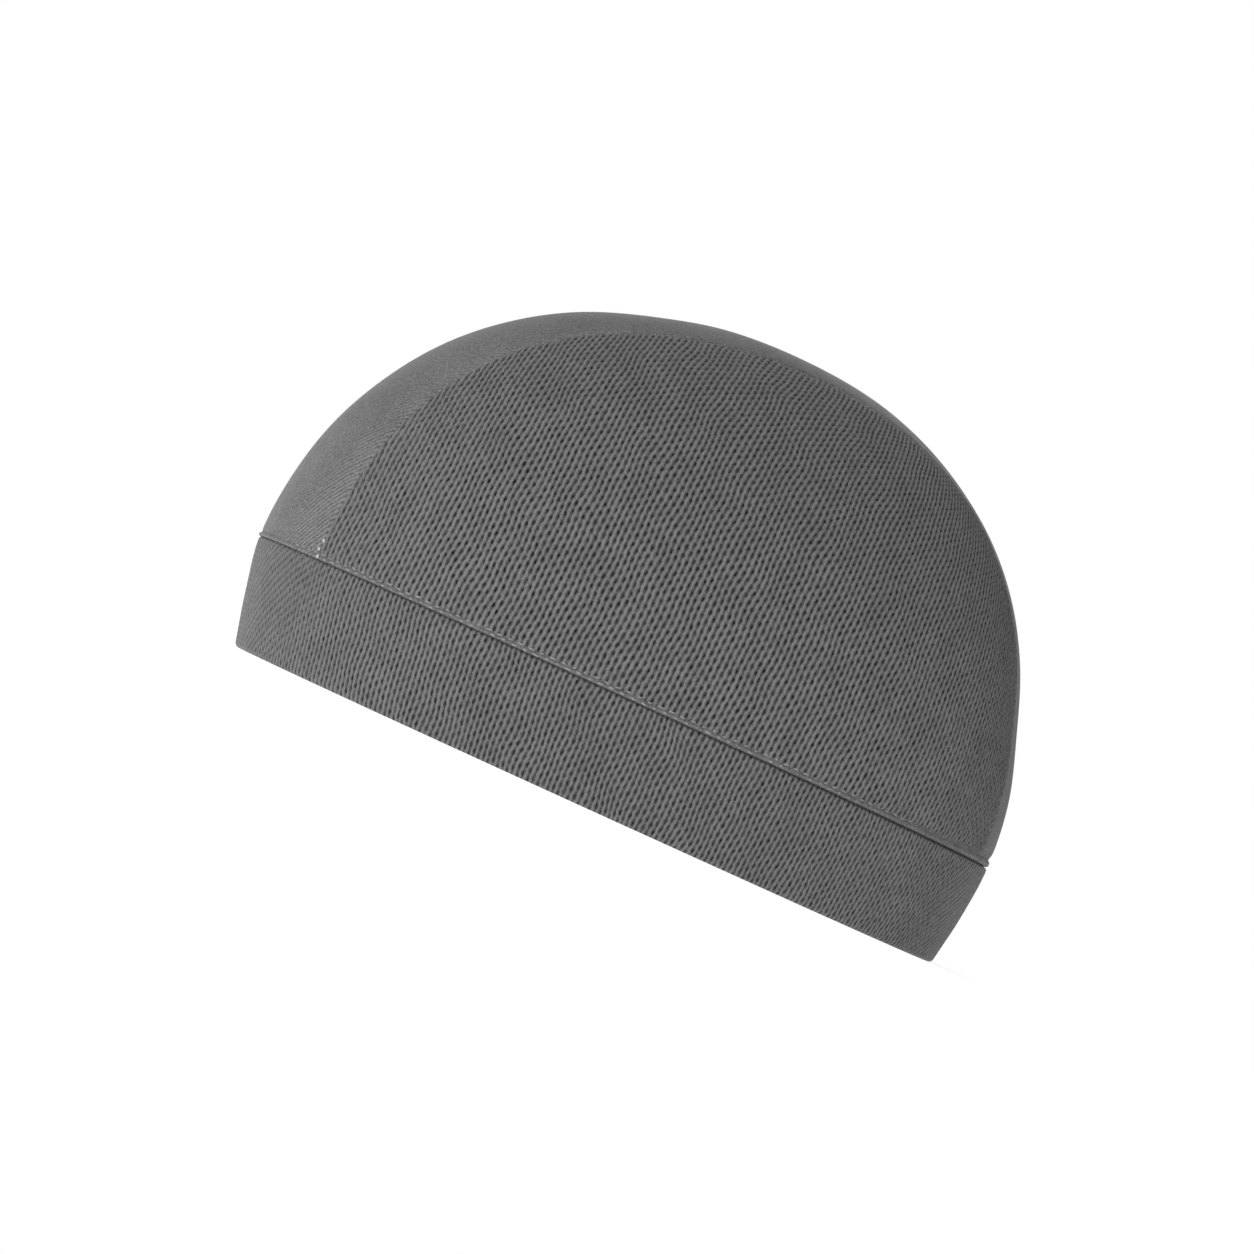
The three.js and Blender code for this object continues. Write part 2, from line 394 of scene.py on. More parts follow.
def strip_half_width(lean):
    """Half the width of the centre strip, which draws in over the crown."""
    end = np.where(np.asarray(lean) > np.pi / 2, STRIP_FRONT, STRIP_BACK)
    return STRIP_WAIST + (end - STRIP_WAIST) * np.abs(np.cos(lean)) ** STRIP_WAIST_POWER


def strip_turn(height, half_width):
    """The turn from the middle of the strip to its edge."""
    side = oval_at(height)[2]
    return np.arcsin((half_width / side) ** (OVAL_POWER / 2))


def panel_turn(height, share):
    """The turn at a share of the way from the front end of the panel to its back end."""
    front = np.pi - strip_turn(height, STRIP_FRONT + SEEN_GAP)
    back = strip_turn(height, STRIP_BACK + SEEN_GAP)
    return front + (back - front) * share


def lengths_along(points):
    """The distance from the first point of each line, along its second last axis."""
    steps = np.linalg.norm(np.diff(points, axis=-2), axis=-1)
    start = np.zeros((*steps.shape[:-1], 1))
    return np.concatenate([start, np.cumsum(steps, axis=-1)], axis=-1)


# %% Spread the columns along the foot of a panel
share = np.linspace(0, 1, FOOT_SAMPLES)
foot_line = surface_point(ROLL_TOP, panel_turn(ROLL_TOP, share))
foot_lengths = lengths_along(foot_line)
PANEL_WALES = int(round(foot_lengths[-1] / WALE))
panel_columns = np.linspace(0, PANEL_WALES, PANEL_WALES * POINTS_PER_STEP + 1)
column_share = np.interp(panel_columns / PANEL_WALES * foot_lengths[-1], foot_lengths, share)

# The strip's edge from its front end to its back end
corner_leans = [
    math.atan2(ROLL_TOP - SEAM_HEIGHT, y) for y in (foot_line[0, 1], foot_line[-1, 1])
]
leans = np.linspace(*corner_leans, EDGE_SAMPLES)
edge_lengths = lengths_along(arch_point(strip_half_width(leans) + SEEN_GAP, leans))
print("columns in a panel:", PANEL_WALES, "over", round(foot_lengths[-1], 1), "mm")

# %% [markdown]
# ### The path of each column
#
# A column of knit can't be a straight line on a dome. So each one is followed over many level
# ovals: at every level it keeps its distance along the oval, apart from its lean. The path
# ends where it crosses the edge of the strip.

# %% Follow each column from level to level until it meets the strip
COLUMN_LEAN = math.radians(2)
COLUMN_CURL = 0.0015
CORNER_LEAN = math.radians(-3.5)
CORNER_REACH = 8.0
LEVELS = 160
HIGHEST_LEVEL = 123.5
TURN_SAMPLES = 1441
PATH_POINTS = 90
WANDER_GROWS = 6.0

level_drops = np.linspace(drop_of(ROLL_TOP), drop_of(HIGHEST_LEVEL), LEVELS)
level_heights = CAP_HEIGHT * (1 - level_drops**2)
turn_table = np.linspace(np.pi, 0, TURN_SAMPLES)
level_arcs = lengths_along(surface_point(level_heights[:, None], turn_table))
level_arcs = level_arcs - level_arcs[:, [len(turn_table) // 2]]
climb = lengths_along(surface_point(level_heights, np.pi / 2))

foot_arcs = np.interp(-panel_turn(ROLL_TOP, column_share), -turn_table, level_arcs[0])
near_corner = np.exp(-(foot_arcs - foot_arcs[0]) / CORNER_REACH)
column_lean = COLUMN_LEAN + (CORNER_LEAN - COLUMN_LEAN) * near_corner
arcs = foot_arcs[:, None] + np.tan(column_lean)[:, None] * climb + COLUMN_CURL * climb**2
arcs = arcs + wander(foot_arcs[:, None], climb) * np.clip(climb / WANDER_GROWS, 0, 1)
turns = np.stack(
    [np.interp(arcs[:, level], level_arcs[level], turn_table) for level in range(LEVELS)], axis=1
)
points = surface_point(level_heights, turns)
over_strip = strip_half_width(np.arctan2(points[..., 2] - SEAM_HEIGHT, points[..., 1]))
outside = points[..., 0] - over_strip - SEEN_GAP
after = np.maximum(np.argmax(outside[:, 1:] < 0, axis=1) + 1, 1)
rows = np.arange(len(panel_columns))
before_gap = np.maximum(outside[rows, after - 1], 0)
end_levels = after - 1 + before_gap / (before_gap - outside[rows, after])

# %% Keep each path as a line of points that ends on the strip's edge
path_share = np.linspace(0, 1, PATH_POINTS)
path_levels = end_levels[:, None] * path_share
path_drops = np.interp(path_levels, np.arange(LEVELS), level_drops)
path_turns = np.stack([
    np.interp(path_levels[row], np.arange(LEVELS), turns[row]) for row in rows
])
path_ends = surface_point(CAP_HEIGHT * (1 - path_drops[:, -1] ** 2), path_turns[:, -1])
end_leans = np.arctan2(path_ends[:, 2] - SEAM_HEIGHT, path_ends[:, 1])
path_ends = arch_point(strip_half_width(end_leans) + SEEN_GAP, end_leans)
climbs = end_levels > 0
path_drops[climbs, -1] = drop_of(path_ends[climbs, 2])
path_turns[climbs, -1] = turn_of(path_ends[climbs])
path_lengths = lengths_along(surface_point(CAP_HEIGHT * (1 - path_drops**2), path_turns))
print("columns that meet the strip at once:", int((~climbs).sum()))
print("longest column, mm:", round(path_lengths.max(), 1))

# %% Mark off real steps along each path
# As shares of a step: the least distance from a column's last full step to its end, and the
# shortest column that gets a mark at its end
LEAST_LAST_STEP = 0.35
SHORTEST_MARKED = 0.5


def column_marks(step, every):
    """For each column taken, its marks: the column, the distance up it, and the place."""
    marks = []
    for number in range(0, len(panel_columns), every):
        length = path_lengths[number, -1]
        up = np.arange(0, max(length - LEAST_LAST_STEP * step, 1e-9), step)
        if length > SHORTEST_MARKED * step:
            up = np.append(up, length)
        drop = np.interp(up, path_lengths[number], path_drops[number])
        turn = np.interp(up, path_lengths[number], path_turns[number])
        marks.append((panel_columns[number], up, CAP_HEIGHT * (1 - drop**2), turn))
    return marks


# %% [markdown]
# ### One panel as a closed mesh
#
# The marks of the columns become the rows of the outer face, with the pits and ribs added
# along the surface's normals. The inner face is as far behind as the knit is thick. Both
# begin in the rolled foot, and along the strip both end in the same cut edge. The right panel
# is the left one mirrored, with its own seed, so that no two holes match.

# %% Build a panel
PANEL_PIT = 0.5
PANEL_RIB = 0.22
INNER_PIT = 0.3
EDGE_FADE = 0.6
PINCH = 0.25
PINCH_HALF_LENGTH = 0.35


def roll_share(turn, along):
    """How much of the roll's fullness there is at a turn: it is nearly flush at the forehead
    and full at the nape, and each stitch pulls it in a little."""
    fuller = ROLL_AT_FRONT + (ROLL_AT_BACK - ROLL_AT_FRONT) * nape_share(turn)
    away = np.abs((along / STITCH_PITCH) % 1 - 0.5) * STITCH_PITCH
    return fuller * (1 - PINCH * np.exp(-((away / PINCH_HALF_LENGTH) ** 2)))


def roll_out(out, turn, surface):
    """How far a row of the roll stands out, or in where the groove over it is. At the nape the
    whole roll is sunk, and the groove is shallower."""
    to_nape = nape_share(turn)
    if out < 0:
        out = out * (1 + (GROOVE_AT_NAPE - 1) * to_nape)
    return out * roll_share(turn, lengths_along(surface)) - NAPE_SINK * to_nape


def side_panel(name, mirror, seed):
    """One panel: the knit over the dome, the rolled foot and the inside of the cloth."""
    cloth = Cloth(name)
    sides = []
    for outer in (True, False):
        every = 1 if outer else POINTS_PER_STEP
        step = COURSE / (POINTS_PER_STEP if outer else 2)
        marks = column_marks(step, every)
        sizes = [len(up) for _, up, _, _ in marks]
        columns = np.repeat([column for column, _, _, _ in marks], sizes)
        up = np.concatenate([up for _, up, _, _ in marks])
        heights = np.concatenate([height for _, _, height, _ in marks])
        turns = np.concatenate([turn for _, _, _, turn in marks])
        surface = surface_point(heights, turns)
        normal = outward(surface)
        to_end = np.repeat([length[-1] for _, length, _, _ in marks], sizes) - up
        fade = np.clip(np.minimum(up, to_end) / EDGE_FADE, 0, 1)
        if outer:
            relief = fade * knit_relief(columns, up / COURSE, PANEL_PIT, PANEL_RIB, seed)
            relief = relief - SEAM_DIP * np.clip(1 - to_end / SEAM_DIP_REACH, 0, 1)
            sunk = NAPE_SINK * nape_share(turns)
            relief = relief - sunk * np.clip(1 - up / NAPE_SINK_REACH, 0, 1) ** 2
        else:
            relief = -CROWN_CLOTH - fade * knit_relief(columns, up / COURSE, INNER_PIT, 0.0, seed)
        points = surface + normal * relief[:, None]
        numbers = cloth.add(points, np.stack([columns, up / COURSE], axis=-1))
        lines = np.split(numbers, np.cumsum(sizes)[:-1])
        sides.append((marks, lines))

    # The rolled foot, from its lowest row up to the first row of the knit
    def foot_rows(every, edge, rolled):
        rows = []
        chosen, shares = panel_columns[::every], column_share[::every]
        to_nape = nape_share(panel_turn(CROWN_FOOT, shares))
        for at_forehead, at_nape, out in edge:
            height = at_forehead + (at_nape - at_forehead) * to_nape
            row_turns = panel_turn(CROWN_FOOT + height, shares)
            surface = surface_point(CROWN_FOOT + height, row_turns)
            stands = roll_out(out, row_turns, surface) if rolled else np.full(len(chosen), out)
            points = surface + outward(surface, level=True) * stands[:, None]
            coords = np.stack([chosen, (height - ROLLED_EDGE[-1, 0]) / COURSE], axis=-1)
            rows.append(cloth.add(points, coords))
        return np.array(rows)

    outer_foot = foot_rows(1, ROLLED_EDGE[:-1], rolled=True)
    inner_foot = foot_rows(POINTS_PER_STEP, [(0.0, 0.0, -CROWN_CLOTH)], rolled=False)
    for (marks, lines), foot, turned in (
        (sides[0], outer_foot, False), (sides[1], inner_foot, True)
    ):
        starts = np.array([line[0] for line in lines])
        cloth.grid(np.vstack([foot, starts]), flip=turned)
        for number in range(len(lines) - 1):
            left, right = lines[number], lines[number + 1]
            both = min(len(left), len(right)) - 1
            if both > 0:
                rows = np.stack([left[:both], right[:both]], axis=1)
                cloth.grid(rows, flip=turned)
            low = max(both - 1, 0)
            cloth.zip(
                left[low:], marks[number][1][low:], right[low:], marks[number + 1][1][low:],
                flip=turned,
            )
    (outer_marks, outer_lines), (inner_marks, inner_lines) = sides
    outer_places = [column for column, _, _, _ in outer_marks]
    inner_places = [column for column, _, _, _ in inner_marks]
    cloth.zip(outer_foot[0], outer_places, inner_foot[0], inner_places)
    cloth.zip(
        [line[-1] for line in outer_lines], outer_places,
        [line[-1] for line in inner_lines], inner_places, flip=True,
    )
    foot_count = len(outer_foot)
    for end, turned in ((0, True), (-1, False)):
        outer_line = [*outer_foot[:, end], *outer_lines[end]]
        inner_line = [inner_foot[0, end], *inner_lines[end]]
        outer_steps = [*range(foot_count), *(foot_count + outer_marks[end][1])]
        inner_steps = [0, *(foot_count + inner_marks[end][1])]
        cloth.zip(outer_line, outer_steps, inner_line, inner_steps, flip=turned)
    if mirror:
        cloth.points = [points * (-1, 1, 1) for points in cloth.points]
        cloth.faces = [faces[:, ::-1] for faces in cloth.faces]
    return cloth.build()


left_panel = side_panel("panel_cloth_left", mirror=False, seed=11)
right_panel = side_panel("panel_cloth_right", mirror=True, seed=23)
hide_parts("side_panel_left")
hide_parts("side_panel_right")

# %% [markdown]
# ## The centre strip
#
# The strip is a close, fine jersey with no holes, stretched from the front seam to the back
# seam. A plain grid is enough for its form: rows that cross the strip, each in the fan of
# rays from the middle of the cap. Over the top a low ridge runs along each edge, where the
# seam below lifts it, and the seam itself is a small dip that both its sides share. The fine
# ribs of the jersey are too small for a mesh and are left to the material.

# %% Build the strip
STRIP_ROW = 1.1
STRIP_ACROSS = 56
EDGE_POINTS = 5
EDGE_RIDGE = 0.35
RIDGE_WIDTH = 1.3
RIDGE_FROM = 90.0
RIDGE_FULL = 112.0


def strip_cloth():
    """The strip: its arch, and a rolled foot at each end."""
    cloth = Cloth("strip_cloth")
    # The columns lie close together near each edge, for the ridge, and evenly between
    near_edge = 1 - RIDGE_WIDTH / STRIP_WAIST * np.linspace(0, 1, EDGE_POINTS)
    inner_places = np.linspace(-1, 1, STRIP_ACROSS + 1)[2:-2]
    across = np.concatenate([-near_edge, inner_places, near_edge[::-1]])
    count = int(edge_lengths[-1] / STRIP_ROW)
    row_leans = np.interp(np.linspace(0, edge_lengths[-1], count + 1), edge_lengths, leans)
    half = strip_half_width(row_leans)[:, None] - SEEN_GAP
    arch = arch_point(across * half, row_leans[:, None])
    ends = []
    for at_forehead, at_nape, out in ROLLED_EDGE:
        for is_front in (True, False):
            width = (STRIP_FRONT if is_front else STRIP_BACK) - SEEN_GAP
            foot_turns = strip_turn(CROWN_FOOT, width) * across + (np.pi if is_front else 0)
            height = at_forehead + (at_nape - at_forehead) * nape_share(foot_turns)
            limit = strip_turn(CROWN_FOOT + height, width)
            turns = np.pi - limit * across if is_front else limit * across
            surface = surface_point(CROWN_FOOT + height, turns)
            stands = roll_out(out, turns, surface)
            ends.append((is_front, surface, outward(surface, level=True), stands))
    front = [end for end in ends if end[0]]
    back = [end for end in ends if not end[0]][::-1]
    arch_normals = outward(arch)
    from_edge = np.clip((1 - np.abs(across)) * STRIP_WAIST / RIDGE_WIDTH, 0, 1)
    ridge_here = np.clip((arch[..., 2] - RIDGE_FROM) / (RIDGE_FULL - RIDGE_FROM), 0, 1)
    ridge_height = EDGE_RIDGE * np.sin(np.pi * from_edge) * ridge_here
    dip = SEAM_DIP * np.clip(1 - (1 - np.abs(across)) * half / SEAM_DIP_REACH, 0, 1)
    at_nape = (arch[..., 1] > 0) * nape_share(strip_turn(ROLL_TOP, STRIP_BACK) * across)
    over_foot = (arch[..., 2] - ROLL_TOP) / NAPE_SINK_REACH
    dip = dip + NAPE_SINK * at_nape * np.clip(1 - over_foot, 0, 1) ** 2
    ridged = arch + arch_normals * (ridge_height - dip)[..., None]
    rows = [surface + normal * stands[:, None] for _, surface, normal, stands in front]
    rows += list(ridged[1:-1])
    rows += [surface + normal * stands[:, None] for _, surface, normal, stands in back]
    rows = np.array(rows)
    along = lengths_along(rows[:, len(across) // 2])
    coords = np.stack(np.broadcast_arrays(rows[..., 0], along[:, None]), axis=-1)
    outer = cloth.add(rows, coords)
    surfaces = np.array(
        [end[1] for end in front] + list(arch[1:-1]) + [end[1] for end in back]
    )
    normals = np.array(
        [end[2] for end in front] + list(arch_normals[1:-1]) + [end[2] for end in back]
    )
    inner = cloth.add(surfaces - normals * CROWN_CLOTH, coords)
    cloth.grid(outer)
    cloth.grid(inner, flip=True)
    for line in (0, -1):
        cloth.grid(np.stack([outer[line], inner[line]]), flip=line == 0)
        cloth.grid(np.stack([outer[:, line], inner[:, line]]), flip=line != 0)
    return cloth.build()


strip = strip_cloth()
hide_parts("centre_strip")

# %% [markdown]
# ## The band
#
# The band is the same knit, folded double: one face goes down the outside, round the rim and
# up the inside. So it is one closed ring whose section is a folded strip of cloth. Between
# the two layers the holes are blind, which makes them shallower and paler than the crown's.
# At the forehead and the nape they close nearly all the way. The top edge is drawn in under
# the roll, and the dark line there is the shadow of that tuck, with painted shade added on the
# first row by the material. Where the band rests, the fold is a little flat.

# %% The section of the folded band, as a path down the outside and up the inside
BAND_TOP = SEAM_HEIGHT - SEWN_GAP / 2
BAND_CLOTH = 2.2
FOLD_RADIUS = 0.9
TUCK_DEPTH = 0.3
TUCK_AT_NAPE = 1.1
TUCK_HEIGHT = 0.8
TUCK_ROWS = (0.0, 0.25, 0.5)
BAND_WALE = 1.355
BAND_COURSE = 2.4
BAND_PIT = 0.4
BAND_RIB = 0.12
BAND_INNER_PIT = 0.35
BAND_INNER_RIB = 0.1
RING_SAMPLES = 2001

wall_run = BAND_TOP - FOLD_RADIUS
arc_run = FOLD_RADIUS * math.pi / 2
flat_run = BAND_CLOTH - 2 * FOLD_RADIUS
fold_run = wall_run + 2 * arc_run + flat_run


def fold_section(down):
    """Height, depth behind the outer surface, and outward and upward direction, at each
    distance down the band's outside and round its rim."""
    first = np.clip((down - wall_run) / arc_run, 0, 1) * math.pi / 2
    second = np.clip((down - wall_run - arc_run - flat_run) / arc_run, 0, 1) * math.pi / 2
    flat = np.clip(down - wall_run - arc_run, 0, flat_run)
    height = BAND_TOP - np.minimum(down, wall_run)
    height = height - FOLD_RADIUS * np.sin(first) + FOLD_RADIUS * (1 - np.cos(second))
    depth = FOLD_RADIUS * (1 - np.cos(first)) + flat + FOLD_RADIUS * np.sin(second)
    angle = first + second
    return height, depth, np.cos(angle), -np.sin(angle)


def level_ring(count, height):
    """Turns that are evenly spaced along the oval at this height, and its length."""
    turns = np.linspace(0, 2 * np.pi, RING_SAMPLES)
    lengths = lengths_along(surface_point(height, turns))
    return np.interp(np.linspace(0, lengths[-1], count + 1)[:-1], lengths, turns), lengths[-1]


_, band_round = level_ring(4, SEAM_HEIGHT / 2)
BAND_WALES = 2 * int(round(band_round / BAND_WALE / 2))
print("columns round the band:", BAND_WALES, "over", round(band_round, 1), "mm")

# %% Build the band
INNER_STEP = 4
STRAY_CLOSES = 10.0
CLOSED_SHARE = 0.8

# Y where the holes begin to close, and where they are closed
CLOSED_AT_FRONT = (-84.0, -98.0)
CLOSED_AT_BACK = (76.0, 92.0)


def closed_share(y):
    """How far the holes have closed: the band is hardly stretched at the forehead and nape."""
    shares = [(y - start) / (end - start) for start, end in (CLOSED_AT_FRONT, CLOSED_AT_BACK)]
    return np.clip(np.maximum(*shares), 0, 1)


def band_cloth():
    """The folded band: a fine outside with its rim, and a coarser inside."""
    cloth = Cloth("band_cloth")
    columns = np.arange(BAND_WALES * POINTS_PER_STEP) / POINTS_PER_STEP
    turns, _ = level_ring(len(columns), SEAM_HEIGHT / 2)
    down = np.arange(0, fold_run, BAND_COURSE / POINTS_PER_STEP)
    down = np.array([*TUCK_ROWS, *down[2:], fold_run])
    height, depth, out, up = fold_section(down)
    along = columns * BAND_WALE
    closing = np.clip(np.minimum(along, along[-1] - along) / STRAY_CLOSES, 0, 1)
    strayed = turns + wander(along, down[:, None]) * closing / along[-1] * 2 * np.pi
    surface = surface_point(height[:, None], strayed)
    level = outward(surface, level=True)
    knit_rows = down[:, None] / BAND_COURSE
    relief = knit_relief(columns, knit_rows, BAND_PIT, BAND_RIB, seed=37)
    fade = np.clip(down / TUCK_HEIGHT, 0, 1) * np.clip(height / FOLD_RADIUS, 0, 1)
    relief = relief * fade[:, None] * (1 - CLOSED_SHARE * closed_share(surface[..., 1]))
    tuck = TUCK_DEPTH + (TUCK_AT_NAPE - TUCK_DEPTH) * np.sqrt(nape_share(turns))
    depth = depth[:, None] + tuck * np.clip(1 - down / TUCK_HEIGHT, 0, 1)[:, None] ** 3
    points = surface + level * (out[:, None] * relief - depth)[..., None]
    points[..., 2] += up[:, None] * relief
    points[..., 2] = np.maximum(points[..., 2], 0)
    coords = np.stack(np.broadcast_arrays(columns, knit_rows), axis=-1)
    outer = cloth.add(points, coords)

    rising = np.arange(1, int((BAND_TOP - FOLD_RADIUS) / (BAND_COURSE / 2)) + 1)
    inner_heights = FOLD_RADIUS + rising * BAND_COURSE / 2
    inner_heights[-1] = BAND_TOP
    some = slice(None, None, INNER_STEP)
    inner_columns, inner_turns = columns[some], turns[some]
    surface = surface_point(inner_heights[:, None], inner_turns)
    level = outward(surface, level=True)
    inner_rows = (fold_run + inner_heights - FOLD_RADIUS)[:, None] / BAND_COURSE
    relief = knit_relief(inner_columns, inner_rows, BAND_INNER_PIT, BAND_INNER_RIB, seed=41)
    relief[-1] = 0
    points = surface - level * (BAND_CLOTH + relief)[..., None]
    coords = np.stack(np.broadcast_arrays(inner_columns, inner_rows), axis=-1)
    inner = cloth.add(points, coords)

    cloth.grid(outer, closed_by=BAND_WALES)
    cloth.grid(inner, closed_by=BAND_WALES)
    for fine, coarse, turned in ((outer[-1], inner[0], True), (outer[0], inner[-1], False)):
        fine_places = [*range(len(fine)), len(fine)]
        coarse_places = [INNER_STEP * place for place in range(len(coarse) + 1)]
        cloth.zip([*fine, fine[0]], fine_places, [*coarse, coarse[0]], coarse_places, flip=turned)
    return cloth.build()


band = band_cloth()
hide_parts("band")

# %% [markdown]
# ## Stitches
#
# One row of small stitches lies in the groove just above the roll, and another runs along
# the roll itself. Both sink into the cloth towards the nape, and they end at the strip or a
# little way into it. A stitch is a short length of thread that dives in at both ends, so each
# one is a little spindle, thickest in its middle. They are all one mesh, made by placing the
# same spindle along the seam. A few more lie where the strip's front end, the panel and the
# band meet.

# %% One spindle, placed many times
THREAD_RADIUS = 0.18
STITCH_LENGTH = 1.7
SPINDLE_BEND = 2.2
SPINDLE_SIDES = 8
SPINDLE_PROFILE = [(-0.5, 0.05), (-0.42, 0.6), (-0.22, 0.95), (0.0, 1.0),
                   (0.22, 0.95), (0.42, 0.6), (0.5, 0.05)]


def closed_tube(cloth, rings, flip=False):
    """Joins rings of points to a tube and closes both its ends."""
    cloth.grid(np.concatenate([rings, rings[:, :1]], axis=1), flip=flip)
    for end, turned in ((0, not flip), (-1, flip)):
        ring = rings[end]
        fan = np.array([(ring[0], ring[k], ring[k + 1]) for k in range(1, len(ring) - 1)])
        cloth.triangles(fan[:, ::-1] if turned else fan)


def spindles(name, middles, directions, normals, lengths, radii):
    """Stitches as one mesh: each has a middle, a direction, a normal, a length and a radius."""
    rings = []
    angles = np.arange(SPINDLE_SIDES) / SPINDLE_SIDES * 2 * np.pi
    sideways = np.cross(directions, normals)
    for along, thick in SPINDLE_PROFILE:
        centre = middles + directions * (along * lengths)[:, None]
        centre = centre - normals * (SPINDLE_BEND * along**2 * radii)[:, None]
        ring = [
            centre + (radii * thick)[:, None] * (math.cos(a) * normals + math.sin(a) * sideways)
            for a in angles
        ]
        rings.append(np.stack(ring, axis=1))
    rings = np.stack(rings, axis=1)
    cloth = Cloth(name)
    numbers = cloth.add(rings, np.zeros(2))
    for stitch in numbers:
        closed_tube(cloth, stitch)
    return cloth.build()


# %% The two rows along the seam
# Each row: height above the crown's foot at the forehead and at the nape, how far it stands
# out at both, its slant, its shift along the seam as a share of the pitch, and how far from
# the strip's middle line it begins, as a share of the strip's half width
STITCH_ROWS = [
    (1.35, 1.9, 0.0, -0.85, 0.0, 0.0, 0.55),
    (0.5, 1.0, 0.36, -0.2, 0.12, 0.5, 1.0),
]
TURN_STEP = 0.01

# How unlike the stitches are: in slant, in height, in how far they stand out, and in length
# and radius as shares
SLANT_SPREAD = 0.2
HEIGHT_SPREAD = 0.15
OUT_SPREAD = (-0.1, 0.05)
LENGTH_SPREAD = (0.45, 1.15)
RADIUS_SPREAD = (0.75, 1.15)

random = np.random.default_rng(5)
_, seam_round = level_ring(4, CROWN_FOOT)
count = round(seam_round / STITCH_PITCH)
placed = []
for at_forehead, at_nape, out_at_front, out_at_back, slant, shift, begins in STITCH_ROWS:
    ring, _ = level_ring(2 * count, CROWN_FOOT)
    ring_turns = ring[::2] if shift == 0 else ring[1::2]
    place = surface_point(CROWN_FOOT, ring_turns)
    end_width = np.where(place[:, 1] < 0, STRIP_FRONT, STRIP_BACK)
    ring_turns = ring_turns[np.abs(place[:, 0]) > end_width * begins]
    stitches = len(ring_turns)
    to_nape = nape_share(ring_turns)
    height = CROWN_FOOT + at_forehead + (at_nape - at_forehead) * to_nape
    next_place = surface_point(height, ring_turns + TURN_STEP)
    step = next_place - surface_point(height, ring_turns - TURN_STEP)
    step = step / np.linalg.norm(step, axis=1, keepdims=True)
    tilt = slant + random.uniform(-SLANT_SPREAD, SLANT_SPREAD, stitches)
    ahead = step * np.cos(tilt)[:, None] + np.array([0, 0, 1]) * np.sin(tilt)[:, None]
    height = height + random.uniform(-HEIGHT_SPREAD, HEIGHT_SPREAD, stitches)
    middle = surface_point(height, ring_turns)
    normal = outward(middle, level=True)
    out = out_at_front + (out_at_back - out_at_front) * to_nape
    out = out + random.uniform(*OUT_SPREAD, stitches)
    placed.append((middle + normal * out[:, None], ahead, normal))
middles, directions, normals = (np.concatenate(parts) for parts in zip(*placed))
seam_stitches = spindles(
    "seam_stitches", middles, directions, normals,
    STITCH_LENGTH * random.uniform(*LENGTH_SPREAD, len(middles)),
    THREAD_RADIUS * random.uniform(*RADIUS_SPREAD, len(middles)),
)
print("stitches along the seam:", len(middles), "over", round(seam_round, 1), "mm")

# %% The few stitches that close the strip's front corner, on each side
# Height above the crown's foot, and distance from the strip's edge
CORNER_STITCHES = [(0.7, 0.3), (2.5, -0.7), (4.8, -0.2)]
CORNER_LENGTH = 1.1
CORNER_RADIUS = 0.32
CORNER_FROM_AXIS = 90.0
CORNER_SLANTS = (0.3, 0.7)
CORNER_RISE = 0.8
OUT_ON_ROLL = 0.45
OUT_OVER_ROLL = 0.15

middles, directions, normals = [], [], []
for side in (1, -1):
    for number, (height, along) in enumerate(CORNER_STITCHES):
        to_edge = strip_turn(CROWN_FOOT + height, STRIP_FRONT) + along / CORNER_FROM_AXIS
        middle = surface_point(CROWN_FOOT + height, np.pi - side * to_edge)
        normal = outward(middle, level=True)
        flat = np.cross(normal, (0, 0, 1)) * side
        direction = flat * CORNER_SLANTS[number % 2] + np.array([0, 0, CORNER_RISE])
        middles.append(middle + normal * (OUT_ON_ROLL if height < ROLL_HEIGHT else OUT_OVER_ROLL))
        directions.append(direction / np.linalg.norm(direction))
        normals.append(normal)
corner_stitches = spindles(
    "corner_stitches", np.array(middles), np.array(directions), np.array(normals),
    np.full(len(middles), CORNER_LENGTH), np.full(len(middles), CORNER_RADIUS),
)

# %% [markdown]
# ## The seam inside
#
# Inside the cap, the raw edges of the crown and of the band are sewn together and lie
# turned up against the crown. They make a soft ridge 5 mm high, all round. It is one closed
# ring of its own, with a small pucker wherever the thread pulls it in.

# %% Build the ridge
RIDGE_LOW = SEAM_HEIGHT - 0.6
RIDGE_HEIGHT = 5.0
RIDGE_THICK = 1.3
RIDGE_BEHIND = 1.05
PUCKER_DEPTH = 0.12
PUCKERS = 40
RIDGE_STEPS = 480
RIDGE_SIDES = 12


def seam_ridge():
    """A flat rounded ridge just inside the crown's wall."""
    cloth = Cloth("seam_allowance")
    turns, around = level_ring(RIDGE_STEPS, SEAM_HEIGHT)
    angles = np.arange(RIDGE_SIDES + 1) / RIDGE_SIDES * 2 * np.pi
    heights = RIDGE_LOW + RIDGE_HEIGHT * (0.5 + 0.5 * np.sin(angles))
    depths = CROWN_CLOTH + RIDGE_BEHIND + RIDGE_THICK * (0.5 + 0.5 * np.cos(angles))
    pucker = PUCKER_DEPTH * np.sin(np.arange(RIDGE_STEPS) * 2 * np.pi * PUCKERS / RIDGE_STEPS)
    surface = surface_point(heights[:, None], turns)
    level = outward(surface, level=True)
    points = surface - level * (depths[:, None] + pucker * np.cos(angles)[:, None])[..., None]
    columns = np.arange(RIDGE_STEPS) * around / RIDGE_STEPS / STITCH_PITCH
    coords = np.stack(np.broadcast_arrays(columns, angles[:, None]), axis=-1)
    points[-1] = points[0]
    numbers = cloth.add(points[:-1], coords[:-1])
    numbers = np.vstack([numbers, numbers[:1]])
    cloth.grid(numbers, closed_by=around / STITCH_PITCH)
    return cloth.build()


ridge = seam_ridge()

# %% [markdown]
# The strip's own edges turn in too. Without them, light from the floor comes through the
# fine gap of each seam. They are flatter, and they end just above the ridge round the cap.

